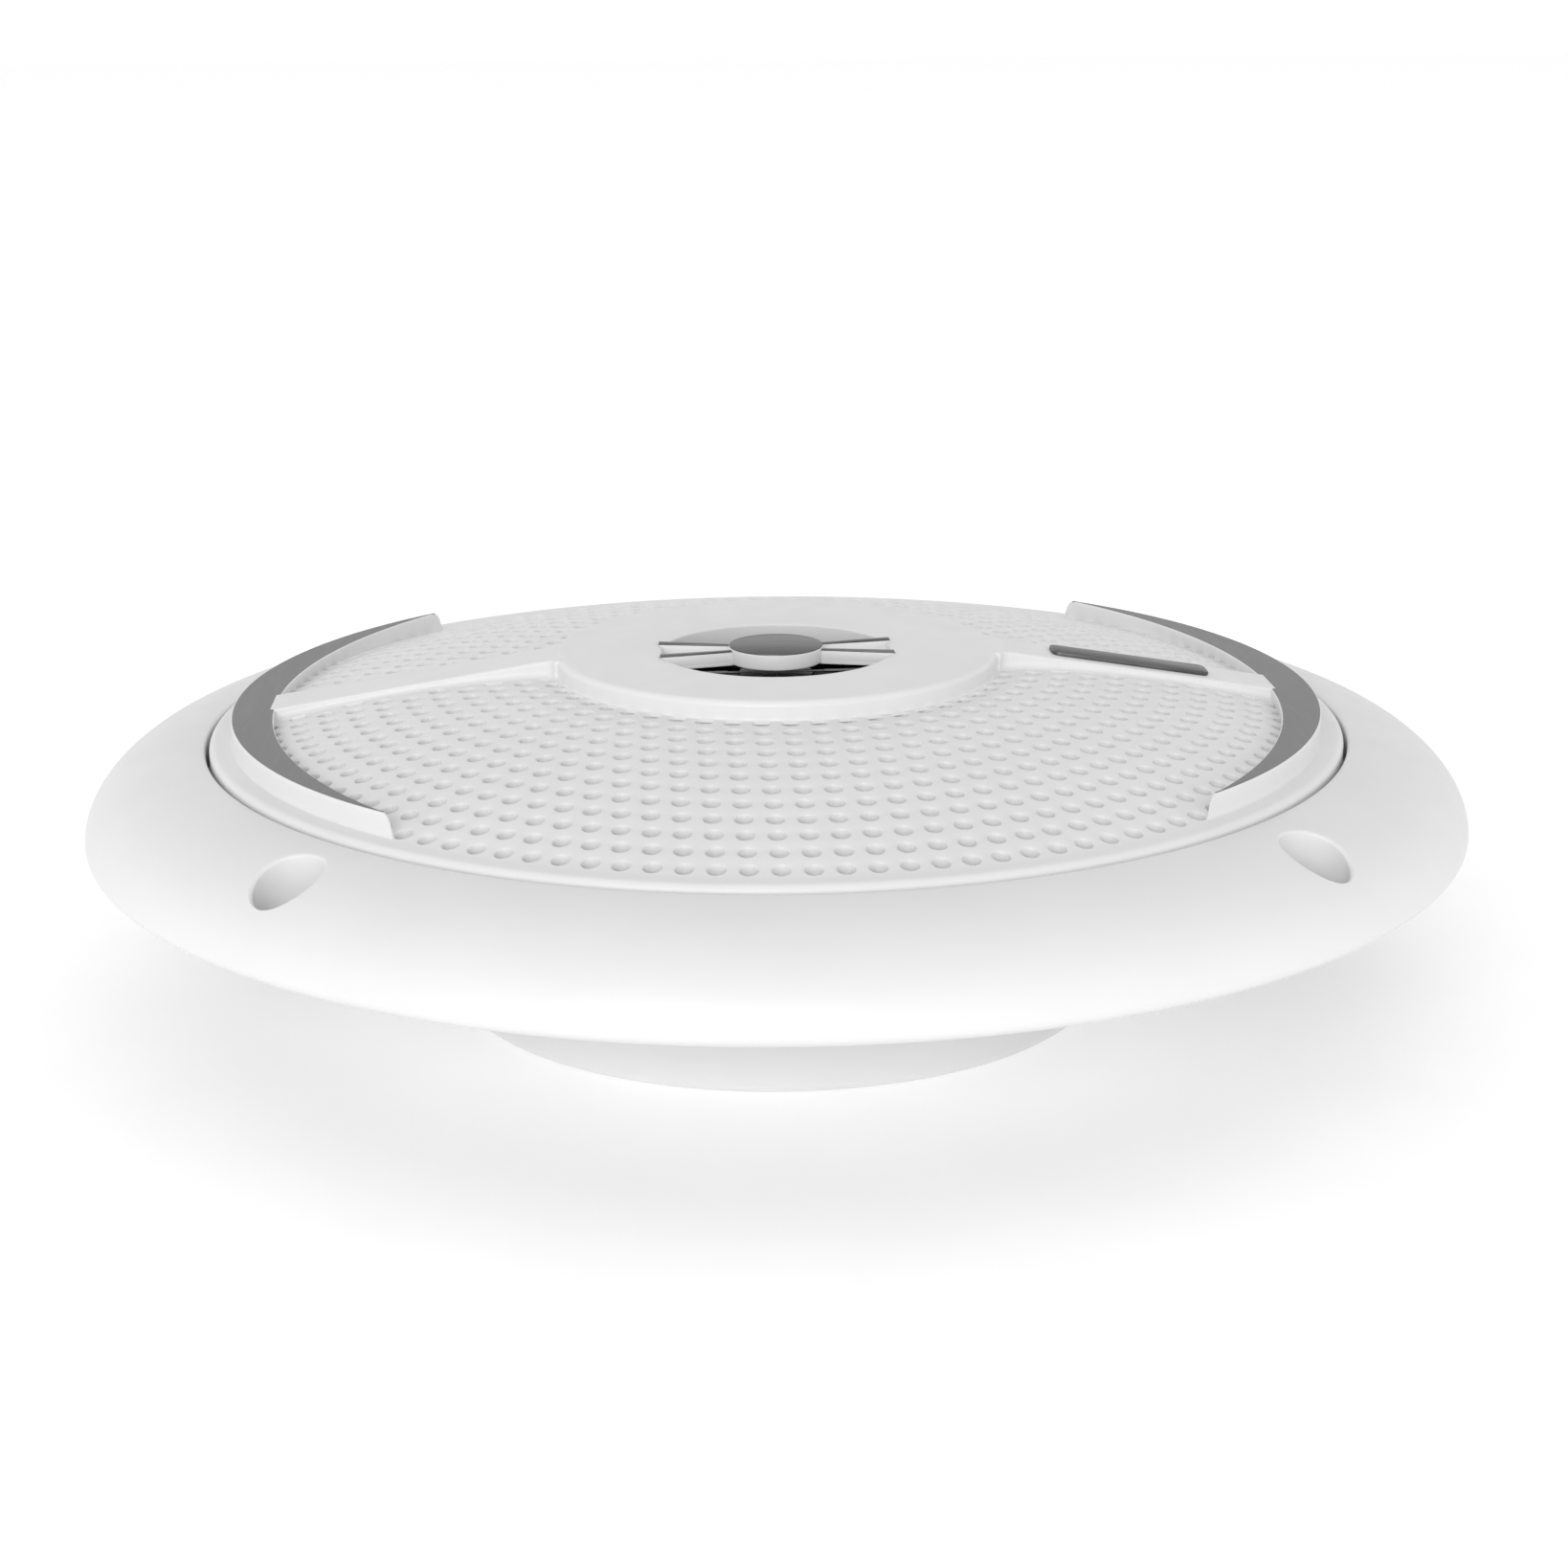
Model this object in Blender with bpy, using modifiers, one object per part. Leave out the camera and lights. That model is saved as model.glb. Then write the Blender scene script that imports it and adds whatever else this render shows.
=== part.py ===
"""Shallow flush-mount marine loudspeaker, a two-way coaxial with a domed grille.

The speaker stands on its rear cover with its sound axis along +Z. The origin is
the middle of the cover's outer face, and the grille's ribs run along X.
Lengths are in millimetres here and become metres where a mesh is made.
"""

import math

import bmesh
import bpy
from mathutils import Matrix, Vector

MM = 0.001
GAP = 0.3                      # clearance left between pieces that touch

# Driving dimensions
LIP_RADIUS = 75.0              # outer edge of the grille
LIP_Z = 36.4                   # where that edge meets the bezel
LIP_FLAT_RADIUS = 72.2         # the dome is level from here out to the edge's rounding
LIP_ROUND = 1.0
BEZEL_RADIUS = 91.4            # widest part of the bezel
BEZEL_WIDEST_Z = 25.7
BEZEL_BACK_Z = 23.8
PANEL_Z = 22.3                 # face of the panel that the speaker is mounted on
GASKET_THICKNESS = 1.2
GASKET_INNER_RADIUS = 66.0
CUTOUT_RADIUS = 62.0           # everything behind the panel is inside this

SCREW_CIRCLE_RADIUS = 83.6     # panel screws
RECESS_RADIUS = 4.3
RECESS_FLOOR_Z = 28.4
BOSS_TOP_Z = 29.8              # inside the bezel's wall, so that a boss doesn't show
PANEL_SCREW_HOLE_RADIUS = 2.3
SCREW_BOSS_RADIUS = 6.6
BASKET_SCREW_RADIUS = 72.5     # screws that join the basket and the bezel
FLANGE_RADIUS = 80.4           # outer edge of the basket
FLANGE_TOP_Z = 26.2
BEZEL_LEDGE_TOP_Z = 32.4       # ledge that the grille's skirt rests on
BEZEL_LEDGE_BACK_Z = 30.2
BEZEL_LEDGE_RADIUS = 72.0

HUB_RADIUS = 29.5              # raised ring in the middle of the grille
HUB_OPENING_RADIUS = 15.3
HUB_TOP_Z = 46.4
DOME_RISE = 7.4                # height of the dome above the lip, at the hub
DOME_POWER = 1.8               # how flat the dome is in its middle
GRILLE_WALL = 2.0
RIB_WIDTH = 8.2
RIB_NEAR_Z = 46.3              # rib's top where it leaves the hub ring
RIB_FAR_Z = 40.2               # and where it meets the crescent
CRESCENT_TOP_Z = 40.15
CRESCENT_OUTER_RADIUS = 72.0
CRESCENT_INNER_RADIUS = 86.9   # inner edge, an arc about a centre past the axis
CRESCENT_INNER_OFFSET = 20.5
TRIM_THICKNESS = 0.5
DISC_RADIUS = 6.2
DISC_TOP_Z = 46.75
ARM_TOP_Z = 45.6
ARM_NEAR_HALF = 1.9            # half an arm's width at the disc, and where it meets the hub ring
ARM_FAR_HALF = 4.6
GRILLE_CLEARANCE = 0.5         # between the grille's skirt and the bezel

COVER_RADIUS = 44.3
COVER_WALL = 2.0
COVER_TOP_Z = 15.9

POLE_RADIUS = 14.9
POLE_TOP_Z = 15.5
YOKE_RADIUS = 34.5
MAGNET_RADIUS = 34.0
FRONT_PLATE_HOLE_RADIUS = 17.2
FRONT_PLATE_Z = 12.0           # back of the front plate
COIL_RADIUS = 16.05            # outside of the former

CONE_NECK_Z = 22.0
CONE_RIM_Z = 30.6
CONE_RIM_RADIUS = 50.0
CONE_THICKNESS = 0.8
LEDGE_Z = 30.7                 # where the surround is glued to the basket
LEDGE_RADIUS = 65.0
FLOOR_TOP_Z = 17.6             # basket's floor, over the front plate
FLOOR_BACK_Z = 15.8

TWEETER_BASE_Z = 31.0
TWEETER_RADIUS = 18.0
TWEETER_FACE_Z = 43.0
CUP_TOP_Z = 41.4
TWEETER_DOME_RADIUS = 10.0
TWEETER_DOME_TOP_Z = 41.3

ROUND_STEPS = 40               # facets of a large round piece
INNER_STEPS = 32
HOLE_STEPS = 14

WHITE = ((0.86, 0.86, 0.85), 0.38, 0.0)
SILVER = ((0.52, 0.53, 0.54), 0.32, 0.9)
STEEL = ((0.62, 0.63, 0.65), 0.35, 1.0)
ZINC = ((0.70, 0.71, 0.72), 0.30, 1.0)
FERRITE = ((0.05, 0.05, 0.055), 0.65, 0.0)
COPPER = ((0.72, 0.35, 0.18), 0.35, 1.0)
BRASS = ((0.80, 0.62, 0.28), 0.30, 1.0)
RUBBER = ((0.03, 0.03, 0.032), 0.70, 0.0)
FOAM = ((0.045, 0.045, 0.05), 0.90, 0.0)
BLACK_PLASTIC = ((0.025, 0.025, 0.028), 0.45, 0.0)
CONE_WHITE = ((0.80, 0.80, 0.79), 0.50, 0.0)
SPIDER_CLOTH = ((0.62, 0.50, 0.26), 0.85, 0.0)
KAPTON = ((0.55, 0.30, 0.08), 0.40, 0.0)
SILK = ((0.06, 0.06, 0.065), 0.60, 0.0)


def clear_scene():
    for old in list(bpy.data.objects):
        bpy.data.objects.remove(old, do_unlink=True)


def new_collection(name):
    collection = bpy.data.collections.new(name)
    bpy.context.scene.collection.children.link(collection)
    return collection


def make_material(name, look):
    colour, roughness, metallic = look
    material = bpy.data.materials.new(name)
    material.use_nodes = True
    shader = material.node_tree.nodes["Principled BSDF"]
    shader.inputs["Base Color"].default_value = (*colour, 1.0)
    shader.inputs["Roughness"].default_value = roughness
    shader.inputs["Metallic"].default_value = metallic
    material.diffuse_color = (*colour, 1.0)
    return material


clear_scene()
PARTS = new_collection("flush_mount_loudspeaker")
CUTTERS = new_collection("cutters")


def place(name, mesh, look=None):
    """Link a mesh as a part with its own material, or as a cutter when it has no look."""
    obj = bpy.data.objects.new(name, mesh)
    if look:
        PARTS.objects.link(obj)
        mesh.materials.append(make_material(name, look))
    else:
        CUTTERS.objects.link(obj)
        obj.hide_render = True
        obj.display_type = "WIRE"
    return obj


def arc(centre_r, centre_z, radius, start, stop, count):
    """Points on an arc in the (r, z) plane, from one angle to another in degrees."""
    points = []
    for step in range(count + 1):
        angle = math.radians(start + (stop - start) * step / count)
        points.append((centre_r + radius * math.cos(angle), centre_z + radius * math.sin(angle)))
    return points


def turned(name, outline, look=None, steps=ROUND_STEPS, centre=(0.0, 0.0)):
    """A turned piece. The (r, z) outline runs down its outer side and back up inside.

    An outline that starts and ends on the axis stays open, and any other is closed.
    """
    mesh = bpy.data.meshes.new(name)
    on_axis = outline[0][0] == 0.0 and outline[-1][0] == 0.0
    verts = [(r * MM, 0.0, z * MM) for r, z in outline]
    edges = [(i, i + 1) for i in range(len(verts) - 1)]
    if not on_axis:
        edges.append((len(verts) - 1, 0))
    mesh.from_pydata(verts, edges, [])
    obj = place(name, mesh, look)
    obj.location = (centre[0] * MM, centre[1] * MM, 0.0)
    screw = obj.modifiers.new("turn", "SCREW")
    screw.steps = steps
    screw.render_steps = steps
    screw.use_merge_vertices = True
    screw.merge_threshold = 0.00001
    screw.use_smooth_shade = True
    return obj


def ring(name, inner, outer, bottom, top, look=None, steps=ROUND_STEPS, centre=(0.0, 0.0)):
    """A flat ring of square section."""
    outline = [(outer, top), (outer, bottom), (inner, bottom), (inner, top)]
    return turned(name, outline, look, steps, centre)


def disc(name, radius, bottom, top, look=None, steps=HOLE_STEPS, centre=(0.0, 0.0)):
    """A plain cylinder along Z."""
    outline = [(0.0, top), (radius, top), (radius, bottom), (0.0, bottom)]
    return turned(name, outline, look, steps, centre)


def box(name, low, high, look=None):
    """An upright block between two corners."""
    mesh = bpy.data.meshes.new(name)
    body = bmesh.new()
    size = [(h - l) * MM for l, h in zip(low, high)]
    middle = Vector([(h + l) * MM / 2 for l, h in zip(low, high)])
    bmesh.ops.create_cube(body, size=1.0, matrix=Matrix.Translation(middle) @ Matrix.Diagonal((*size, 1.0)))
    body.to_mesh(mesh)
    body.free()
    return place(name, mesh, look)


def extruded(name, outline, bottom, top, look=None):
    """A flat (x, y) outline raised from one height to another."""
    curve = bpy.data.curves.new(name + "_outline", "CURVE")
    curve.dimensions = "2D"
    curve.fill_mode = "BOTH"
    curve.extrude = (top - bottom) * MM / 2
    spline = curve.splines.new("POLY")
    spline.points.add(len(outline) - 1)
    for point, (x, y) in zip(spline.points, outline):
        point.co = (x * MM, y * MM, 0.0, 1.0)
    spline.use_cyclic_u = True
    return meshed(name, curve, look, Matrix.Translation((0.0, 0.0, (bottom + top) * MM / 2)))


def wire(name, route, radius, look):
    """A round wire through the given (x, y, z) points."""
    curve = bpy.data.curves.new(name + "_path", "CURVE")
    curve.dimensions = "3D"
    curve.bevel_depth = radius * MM
    curve.bevel_resolution = 1
    curve.use_fill_caps = True
    spline = curve.splines.new("POLY")
    spline.points.add(len(route) - 1)
    for point, place_at in zip(spline.points, route):
        point.co = (*[value * MM for value in place_at], 1.0)
    return meshed(name, curve, look, Matrix.Identity(4))


def meshed(name, curve, look, matrix):
    """Turn a curve into a welded mesh object."""
    guide = bpy.data.objects.new(name + "_curve", curve)
    CUTTERS.objects.link(guide)
    guide.matrix_world = matrix
    bpy.context.view_layer.update()
    evaluated = guide.evaluated_get(bpy.context.evaluated_depsgraph_get())
    mesh = bpy.data.meshes.new_from_object(evaluated)
    mesh.materials.clear()
    body = bmesh.new()
    body.from_mesh(mesh)
    bmesh.ops.remove_doubles(body, verts=body.verts, dist=0.000001)
    body.transform(matrix)
    body.to_mesh(mesh)
    body.free()
    bpy.data.objects.remove(guide)
    return place(name, mesh, look)


def copies(name, shape, placings):
    """One cutter holding a copy of a shape for each placing, and the shape itself removed."""
    bpy.context.view_layer.update()
    evaluated = shape.evaluated_get(bpy.context.evaluated_depsgraph_get())
    single = bpy.data.meshes.new_from_object(evaluated)
    body = bmesh.new()
    for placing in placings:
        before = len(body.verts)
        body.from_mesh(single)
        body.verts.ensure_lookup_table()
        bmesh.ops.transform(body, matrix=placing, verts=body.verts[before:])
    mesh = bpy.data.meshes.new(name)
    body.to_mesh(mesh)
    body.free()
    bpy.data.objects.remove(shape)
    return place(name, mesh)


def turns(count, first, radius=0.0):
    """Placings at equal angles about the axis, the first at an angle in degrees."""
    out = Matrix.Translation((radius * MM, 0.0, 0.0))
    angles = [math.radians(first + 360.0 * index / count) for index in range(count)]
    return [Matrix.Rotation(angle, 4, "Z") @ out for angle in angles]


def combine(obj, other, operation):
    """Cut a piece by another, join them, or keep what they share."""
    boolean = obj.modifiers.new(other.name, "BOOLEAN")
    boolean.operation = operation
    boolean.solver = "EXACT"
    boolean.object = other


def rounded(outer, top, bottom, inner, edge, steps=3):
    """A ring section whose two upper corners are rounded, running down its outer side."""
    corners = arc(inner + edge, top - edge, edge, 180, 90, steps)
    corners += arc(outer - edge, top - edge, edge, 90, 0, steps)
    return corners + [(outer, bottom), (inner, bottom)]


def around(radius, angle):
    """The (x, y) point at a radius and an angle in degrees."""
    return (radius * math.cos(math.radians(angle)), radius * math.sin(math.radians(angle)))


def dome_z(r):
    """Height of the grille's outer face at a radius."""
    span = LIP_RADIUS - HUB_RADIUS
    return LIP_Z + DOME_RISE * (1.0 - (max(r - HUB_RADIUS, 0.0) / span) ** DOME_POWER)


# ---------------------------------------------------------------- fixed frame
def bezel_face(upper_steps=8, lower_steps=3):
    """The bezel's convex outer face, from its inner edge round to its back."""
    inner = LIP_RADIUS + GRILLE_CLEARANCE
    back_round = 3.0
    points = []
    for step in range(upper_steps + 1):
        angle = math.radians(90.0 * (1 - step / upper_steps))
        points.append((inner + (BEZEL_RADIUS - inner) * math.cos(angle),
                       BEZEL_WIDEST_Z + (LIP_Z - BEZEL_WIDEST_Z) * math.sin(angle) ** 1.1))
    for step in range(1, lower_steps + 1):
        angle = math.radians(90.0 * step / lower_steps)
        points.append((BEZEL_RADIUS - back_round * (1 - math.cos(angle)),
                       BEZEL_WIDEST_Z - (BEZEL_WIDEST_Z - BEZEL_BACK_Z) * math.sin(angle)))
    return points


def build_bezel():
    """Ring round the grille, hollow at the back except at its four panel screws."""
    inner = LIP_RADIUS + GRILLE_CLEARANCE
    inside = FLANGE_RADIUS + 2 * GAP
    outline = bezel_face() + [(inside, BEZEL_BACK_Z), (inside, BEZEL_LEDGE_BACK_Z),
                              (BEZEL_LEDGE_RADIUS, BEZEL_LEDGE_BACK_Z), (BEZEL_LEDGE_RADIUS, BEZEL_LEDGE_TOP_Z),
                              (inner, BEZEL_LEDGE_TOP_Z)]
    bezel = turned("bezel", outline, WHITE)
    corners = turns(4, 45.0, SCREW_CIRCLE_RADIUS)
    sides = turns(4, 0.0, BASKET_SCREW_RADIUS)
    boss_z = FLANGE_TOP_Z + GAP
    boss = disc("boss", SCREW_BOSS_RADIUS - 0.7, boss_z, BOSS_TOP_Z)
    combine(bezel, copies("recess_bosses", boss, corners), "UNION")
    combine(bezel, copies("basket_bosses", disc("boss", 3.4, boss_z, 31.6), sides), "UNION")
    groove = turned("bezel_groove", [(87.2, 28.4), (87.6, 26.2), (87.6, 23.0), (83.0, 23.0), (83.0, 31.4),
                                     (85.4, 30.8)])
    combine(groove, copies("groove_stops", disc("stop", SCREW_BOSS_RADIUS, 20.0, 33.0), corners), "DIFFERENCE")
    combine(bezel, groove, "DIFFERENCE")
    stepped = [(0.0, 40.0), (RECESS_RADIUS, 40.0), (RECESS_RADIUS, RECESS_FLOOR_Z),
               (PANEL_SCREW_HOLE_RADIUS, RECESS_FLOOR_Z), (PANEL_SCREW_HOLE_RADIUS, 20.0), (0.0, 20.0)]
    combine(bezel, copies("recesses", turned("recess", stepped, steps=HOLE_STEPS), corners), "DIFFERENCE")
    combine(bezel, copies("basket_pilots", disc("pilot", 1.9, 25.0, 30.6), sides), "DIFFERENCE")


def build_basket():
    """Moulded bowl that carries the motor, the cone and the bezel."""
    wall = 5.5
    outer, inner = LEDGE_RADIUS, LEDGE_RADIUS - wall
    outline = [(outer, LEDGE_Z), (outer, FLANGE_TOP_Z), (FLANGE_RADIUS, FLANGE_TOP_Z),
               (FLANGE_RADIUS, BEZEL_BACK_Z), (CUTOUT_RADIUS, BEZEL_BACK_Z), (CUTOUT_RADIUS - 1.5, 22.0),
               (40.0, FLOOR_BACK_Z), (26.0, FLOOR_BACK_Z), (26.0, FLOOR_TOP_Z), (39.3, FLOOR_TOP_Z),
               (inner, BEZEL_BACK_Z), (inner, LEDGE_Z)]
    basket = turned("basket", outline, WHITE)
    stepped = [(0.0, 28.0), (1.9, 28.0), (1.9, 25.2), (3.3, 25.2), (3.3, 20.0), (0.0, 20.0)]
    hole = turned("hole", stepped, steps=HOLE_STEPS)
    combine(basket, copies("basket_holes", hole, turns(4, 0.0, BASKET_SCREW_RADIUS)), "DIFFERENCE")


def build_basket_screws():
    """Screws that hold the basket to the bezel from behind."""
    head, shank, head_top, tip = 2.9, 1.5, 24.8, 30.2
    outline = [(0.0, tip), (shank - 0.5, tip), (shank, tip - 0.8), (shank, head_top), (head, head_top),
               (head, BEZEL_BACK_Z + GAP), (0.0, BEZEL_BACK_Z + GAP)]
    for index in range(4):
        centre = around(BASKET_SCREW_RADIUS, 90.0 * index)
        turned(f"basket_screw_{index + 1}", outline, ZINC, HOLE_STEPS, centre)


def build_gasket():
    """Foam ring between the speaker and its panel, inside the circle of panel screws."""
    outer = SCREW_CIRCLE_RADIUS - PANEL_SCREW_HOLE_RADIUS - 0.5
    ring("panel_gasket", GASKET_INNER_RADIUS, outer, PANEL_Z, PANEL_Z + GASKET_THICKNESS, FOAM)


def build_rear_cover():
    """Cup that seals the motor, which the speaker rests on."""
    edge, floor = 1.6, 1.8
    inside = COVER_RADIUS - COVER_WALL
    outline = ([(0.0, floor), (inside, floor), (inside, COVER_TOP_Z), (COVER_RADIUS, COVER_TOP_Z)]
               + arc(COVER_RADIUS - edge, edge, edge, 0, -90, 3) + [(0.0, 0.0)])
    turned("rear_cover", outline, WHITE)


# ---------------------------------------------------------------- motor
def build_motor():
    """Yoke with its bored pole, ring magnet and front plate."""
    bore, yoke_bottom, yoke_top = 2.3, 2.1, 5.1
    outline = [(POLE_RADIUS, POLE_TOP_Z), (POLE_RADIUS, yoke_top), (YOKE_RADIUS, yoke_top),
               (YOKE_RADIUS, yoke_bottom), (bore, yoke_bottom), (bore, POLE_TOP_Z)]
    turned("yoke", outline, STEEL, INNER_STEPS)
    ring("magnet", 19.0, MAGNET_RADIUS, yoke_top + GAP, FRONT_PLATE_Z - GAP, FERRITE, INNER_STEPS)
    plate_radius = MAGNET_RADIUS - 1.0
    ring("front_plate", FRONT_PLATE_HOLE_RADIUS, plate_radius, FRONT_PLATE_Z, POLE_TOP_Z, STEEL, INNER_STEPS)


# ---------------------------------------------------------------- cone and its suspension
def build_cone():
    """Cone, with its neck round the voice coil's former."""
    neck = COIL_RADIUS + GAP
    rise, run, bow, steps = CONE_RIM_Z - CONE_NECK_Z, CONE_RIM_RADIUS - neck, 1.2, 4
    top = []
    for step in range(steps + 1):
        share = step / steps
        top.append((neck + run * share, CONE_NECK_Z + rise * share - bow * math.sin(math.pi * share)))
    bottom = [(r, z - CONE_THICKNESS) for r, z in top]
    turned("cone", top + bottom[::-1], CONE_WHITE, INNER_STEPS)
    ring("coil_former", COIL_RADIUS - 0.3, COIL_RADIUS, 8.2, CONE_NECK_Z + 0.5, KAPTON, INNER_STEPS)
    ring("voice_coil", COIL_RADIUS + 0.05, COIL_RADIUS + 0.6, 10.4, 17.0, COPPER, INNER_STEPS)


def build_surround():
    """Rubber half roll between the cone's rim and the basket."""
    thickness, roll_inner, roll_outer, height, steps = 0.7, 51.0, 59.2, 3.6, 6
    base = LEDGE_Z + GAP
    middle, half = (roll_inner + roll_outer) / 2, (roll_outer - roll_inner) / 2
    top = [(48.0, base + thickness)]
    for step in range(steps + 1):
        angle = math.pi * (1 - step / steps)
        top.append((middle + half * math.cos(angle), base + thickness + height * math.sin(angle)))
    top.append((LEDGE_RADIUS - 0.4, base + thickness))
    bottom = [(r, z - thickness) for r, z in top]
    turned("surround", top + bottom[::-1], RUBBER)
    clamp = rounded(LEDGE_RADIUS - 0.2, 33.4, base + thickness + GAP, 60.6, 0.5, 1)
    turned("surround_clamp", clamp, BLACK_PLASTIC)


def build_spider():
    """Corrugated cloth disc that centres the coil."""
    thickness, inner, roll_outer, outer = 0.5, COIL_RADIUS + 0.35, 31.0, 35.0
    inner_z, outer_z, wave, crests = 19.4, 18.7, 0.4, 3
    top = [(inner, inner_z + thickness)]
    steps = crests * 2
    for step in range(steps):
        share = (step + 0.5) / steps
        swing = wave if step % 2 == 0 else -wave
        z = inner_z + (outer_z - inner_z) * share + swing
        top.append((inner + 1.0 + (roll_outer - inner - 1.0) * share, z + thickness))
    flange_z = FLOOR_TOP_Z + GAP + thickness
    top += [(roll_outer + 1.0, flange_z), (outer, flange_z)]
    bottom = [(r, z - thickness) for r, z in top]
    turned("spider", top + bottom[::-1], SPIDER_CLOTH, INNER_STEPS)


# ---------------------------------------------------------------- wiring
def build_terminals():
    """Terminal block on the cover's side, with a wide and a narrow blade."""
    face_y = COVER_RADIUS + 5.0
    block = box("terminal_block", (-10.0, COVER_RADIUS - 2.6, 5.2), (10.0, face_y, 14.2), BLACK_PLASTIC)
    combine(block, disc("cover_side", COVER_RADIUS + 2 * GAP, 0.0, 20.0, steps=ROUND_STEPS), "DIFFERENCE")
    near, far, taper = face_y + GAP, face_y + 7.8, 0.8
    for name, x, half in (("terminal_blade_wide", -4.8, 2.4), ("terminal_blade_narrow", 5.2, 1.4)):
        outline = [(x - half, near), (x + half, near), (x + half, far - taper), (x + half - taper, far),
                   (x - half + taper, far), (x - half, far - taper)]
        blade = extruded(name, outline, 9.3, 10.1, BRASS)
        combine(blade, disc(name + "_hole", 0.7, 8.0, 12.0, centre=(x, near + 4.4)), "DIFFERENCE")


def build_leads():
    """Posts on the basket's floor, the tinsel leads to the cone, and the crossover capacitor."""
    post_y, post_radius, steps = 37.2, 1.1, 8
    for word, x in (("left", -6.5), ("right", 6.5)):
        disc(f"lead_post_{word}", post_radius, FLOOR_TOP_Z + GAP, 21.4, BRASS, 12, (x, post_y))
        route = []
        for step in range(steps + 1):
            share = step / steps
            y = post_y - post_radius - 0.35 - 13.5 * share
            route.append((x, y, 20.9 + 0.5 * share - 0.5 * math.sin(math.pi * share)))
        wire(f"tinsel_lead_{word}", route, 0.35, COPPER)
    disc("crossover_capacitor", 3.1, 2.1, 13.6, BLACK_PLASTIC, centre=around(38.6, 200.0))


# ---------------------------------------------------------------- tweeter
def build_tweeter_post():
    """Post on the pole, and the screw through the pole that holds it."""
    foot, stem, bore = 4.5, 3.5, 2.0
    outline = [(0.0, TWEETER_BASE_Z - GAP), (stem, TWEETER_BASE_Z - GAP), (stem, 19.0), (foot, 18.0),
               (foot, POLE_TOP_Z + GAP), (bore, POLE_TOP_Z + GAP), (bore, 27.0), (0.0, 27.0)]
    turned("tweeter_post", outline, STEEL, HOLE_STEPS)
    outline = [(0.0, 24.0), (1.3, 24.0), (1.7, 23.2), (1.7, 2.4), (0.0, 2.4)]
    turned("post_screw", outline, ZINC, HOLE_STEPS)


def build_tweeter():
    """Housing, motor and diaphragm of the dome tweeter."""
    base, wall, floor = TWEETER_BASE_Z, 1.6, 1.5
    inside = TWEETER_RADIUS - wall
    outline = [(0.0, base + floor), (inside, base + floor), (inside, CUP_TOP_Z), (TWEETER_RADIUS, CUP_TOP_Z),
               (TWEETER_RADIUS, base + 1.0), (TWEETER_RADIUS - 1.0, base), (0.0, base)]
    turned("tweeter_cup", outline, BLACK_PLASTIC, INNER_STEPS)
    pot_floor, pot_top, pot_inside, pot_outside, pot_wall = base + floor + GAP, 37.8, 11.1, 12.6, 1.2
    outline = [(0.0, pot_floor + pot_wall), (pot_inside, pot_floor + pot_wall), (pot_inside, pot_top),
               (pot_outside, pot_top), (pot_outside, pot_floor), (0.0, pot_floor)]
    turned("tweeter_pot", outline, STEEL, INNER_STEPS)
    magnet_top = 36.3
    disc("tweeter_magnet", 9.2, pot_floor + pot_wall + GAP, magnet_top, ZINC, INNER_STEPS)
    disc("tweeter_pole_plate", 9.3, magnet_top + GAP, pot_top, STEEL, INNER_STEPS)
    ring("tweeter_coil", 9.75, 10.2, 35.6, 38.4, COPPER, INNER_STEPS)
    ring("tweeter_seat", 13.0, inside - GAP, pot_floor, 38.8, BLACK_PLASTIC, INNER_STEPS)
    edge_z, skin, steps = 39.5, 0.4, 4
    top = []
    for step in range(steps + 1):
        angle = math.pi / 2 * step / steps
        z = edge_z + (TWEETER_DOME_TOP_Z - edge_z) * math.cos(angle)
        top.append((TWEETER_DOME_RADIUS * math.sin(angle), z))
    top += [(11.4, edge_z + 0.5), (12.8, edge_z + 0.5), (14.0, edge_z), (inside - 0.5, edge_z)]
    bottom = [(r, z - skin) for r, z in top]
    turned("tweeter_dome", top + bottom[::-1], SILK, 24)


def build_tweeter_face():
    """Black face plate with radial slots that let the dome's sound out."""
    edge, slots, slot_inner, slot_outer, half_angle = 0.4, 8, 5.0, 14.2, 16.5
    outline = [(0.0, TWEETER_FACE_Z), (TWEETER_RADIUS - edge, TWEETER_FACE_Z),
               (TWEETER_RADIUS, TWEETER_FACE_Z - edge),
               (TWEETER_RADIUS, CUP_TOP_Z + GAP), (0.0, CUP_TOP_Z + GAP)]
    face = turned("tweeter_face", outline, BLACK_PLASTIC, INNER_STEPS)
    sector = [around(slot_inner, -half_angle), around(slot_outer, -half_angle), around(slot_outer, 0.0),
              around(slot_outer, half_angle), around(slot_inner, half_angle)]
    cutter = copies("face_slots", extruded("slot", sector, 40.0, 45.0), turns(slots, 180.0 / slots))
    combine(face, cutter, "DIFFERENCE")


# ---------------------------------------------------------------- grille
def crescent_outline(side, inset, count=10):
    """A crescent on one side: an outer arc about the axis and a flatter inner arc."""
    outer = CRESCENT_OUTER_RADIUS - inset
    inner = CRESCENT_INNER_RADIUS + inset
    offset = CRESCENT_INNER_OFFSET
    end_x = (inner ** 2 - outer ** 2 - offset ** 2) / (2 * offset)
    end_y = math.sqrt(outer ** 2 - end_x ** 2)
    outer_end = math.atan2(end_y, end_x) * 0.985
    inner_end = math.atan2(end_y, end_x + offset) * 0.965
    points = []
    for step in range(count + 1):
        angle = outer_end * (2 * step / count - 1)
        points.append((side * outer * math.cos(angle), side * outer * math.sin(angle)))
    for step in range(count + 1):
        angle = inner_end * (1 - 2 * step / count)
        points.append((side * (inner * math.cos(angle) - offset), side * inner * math.sin(angle)))
    return points


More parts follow.
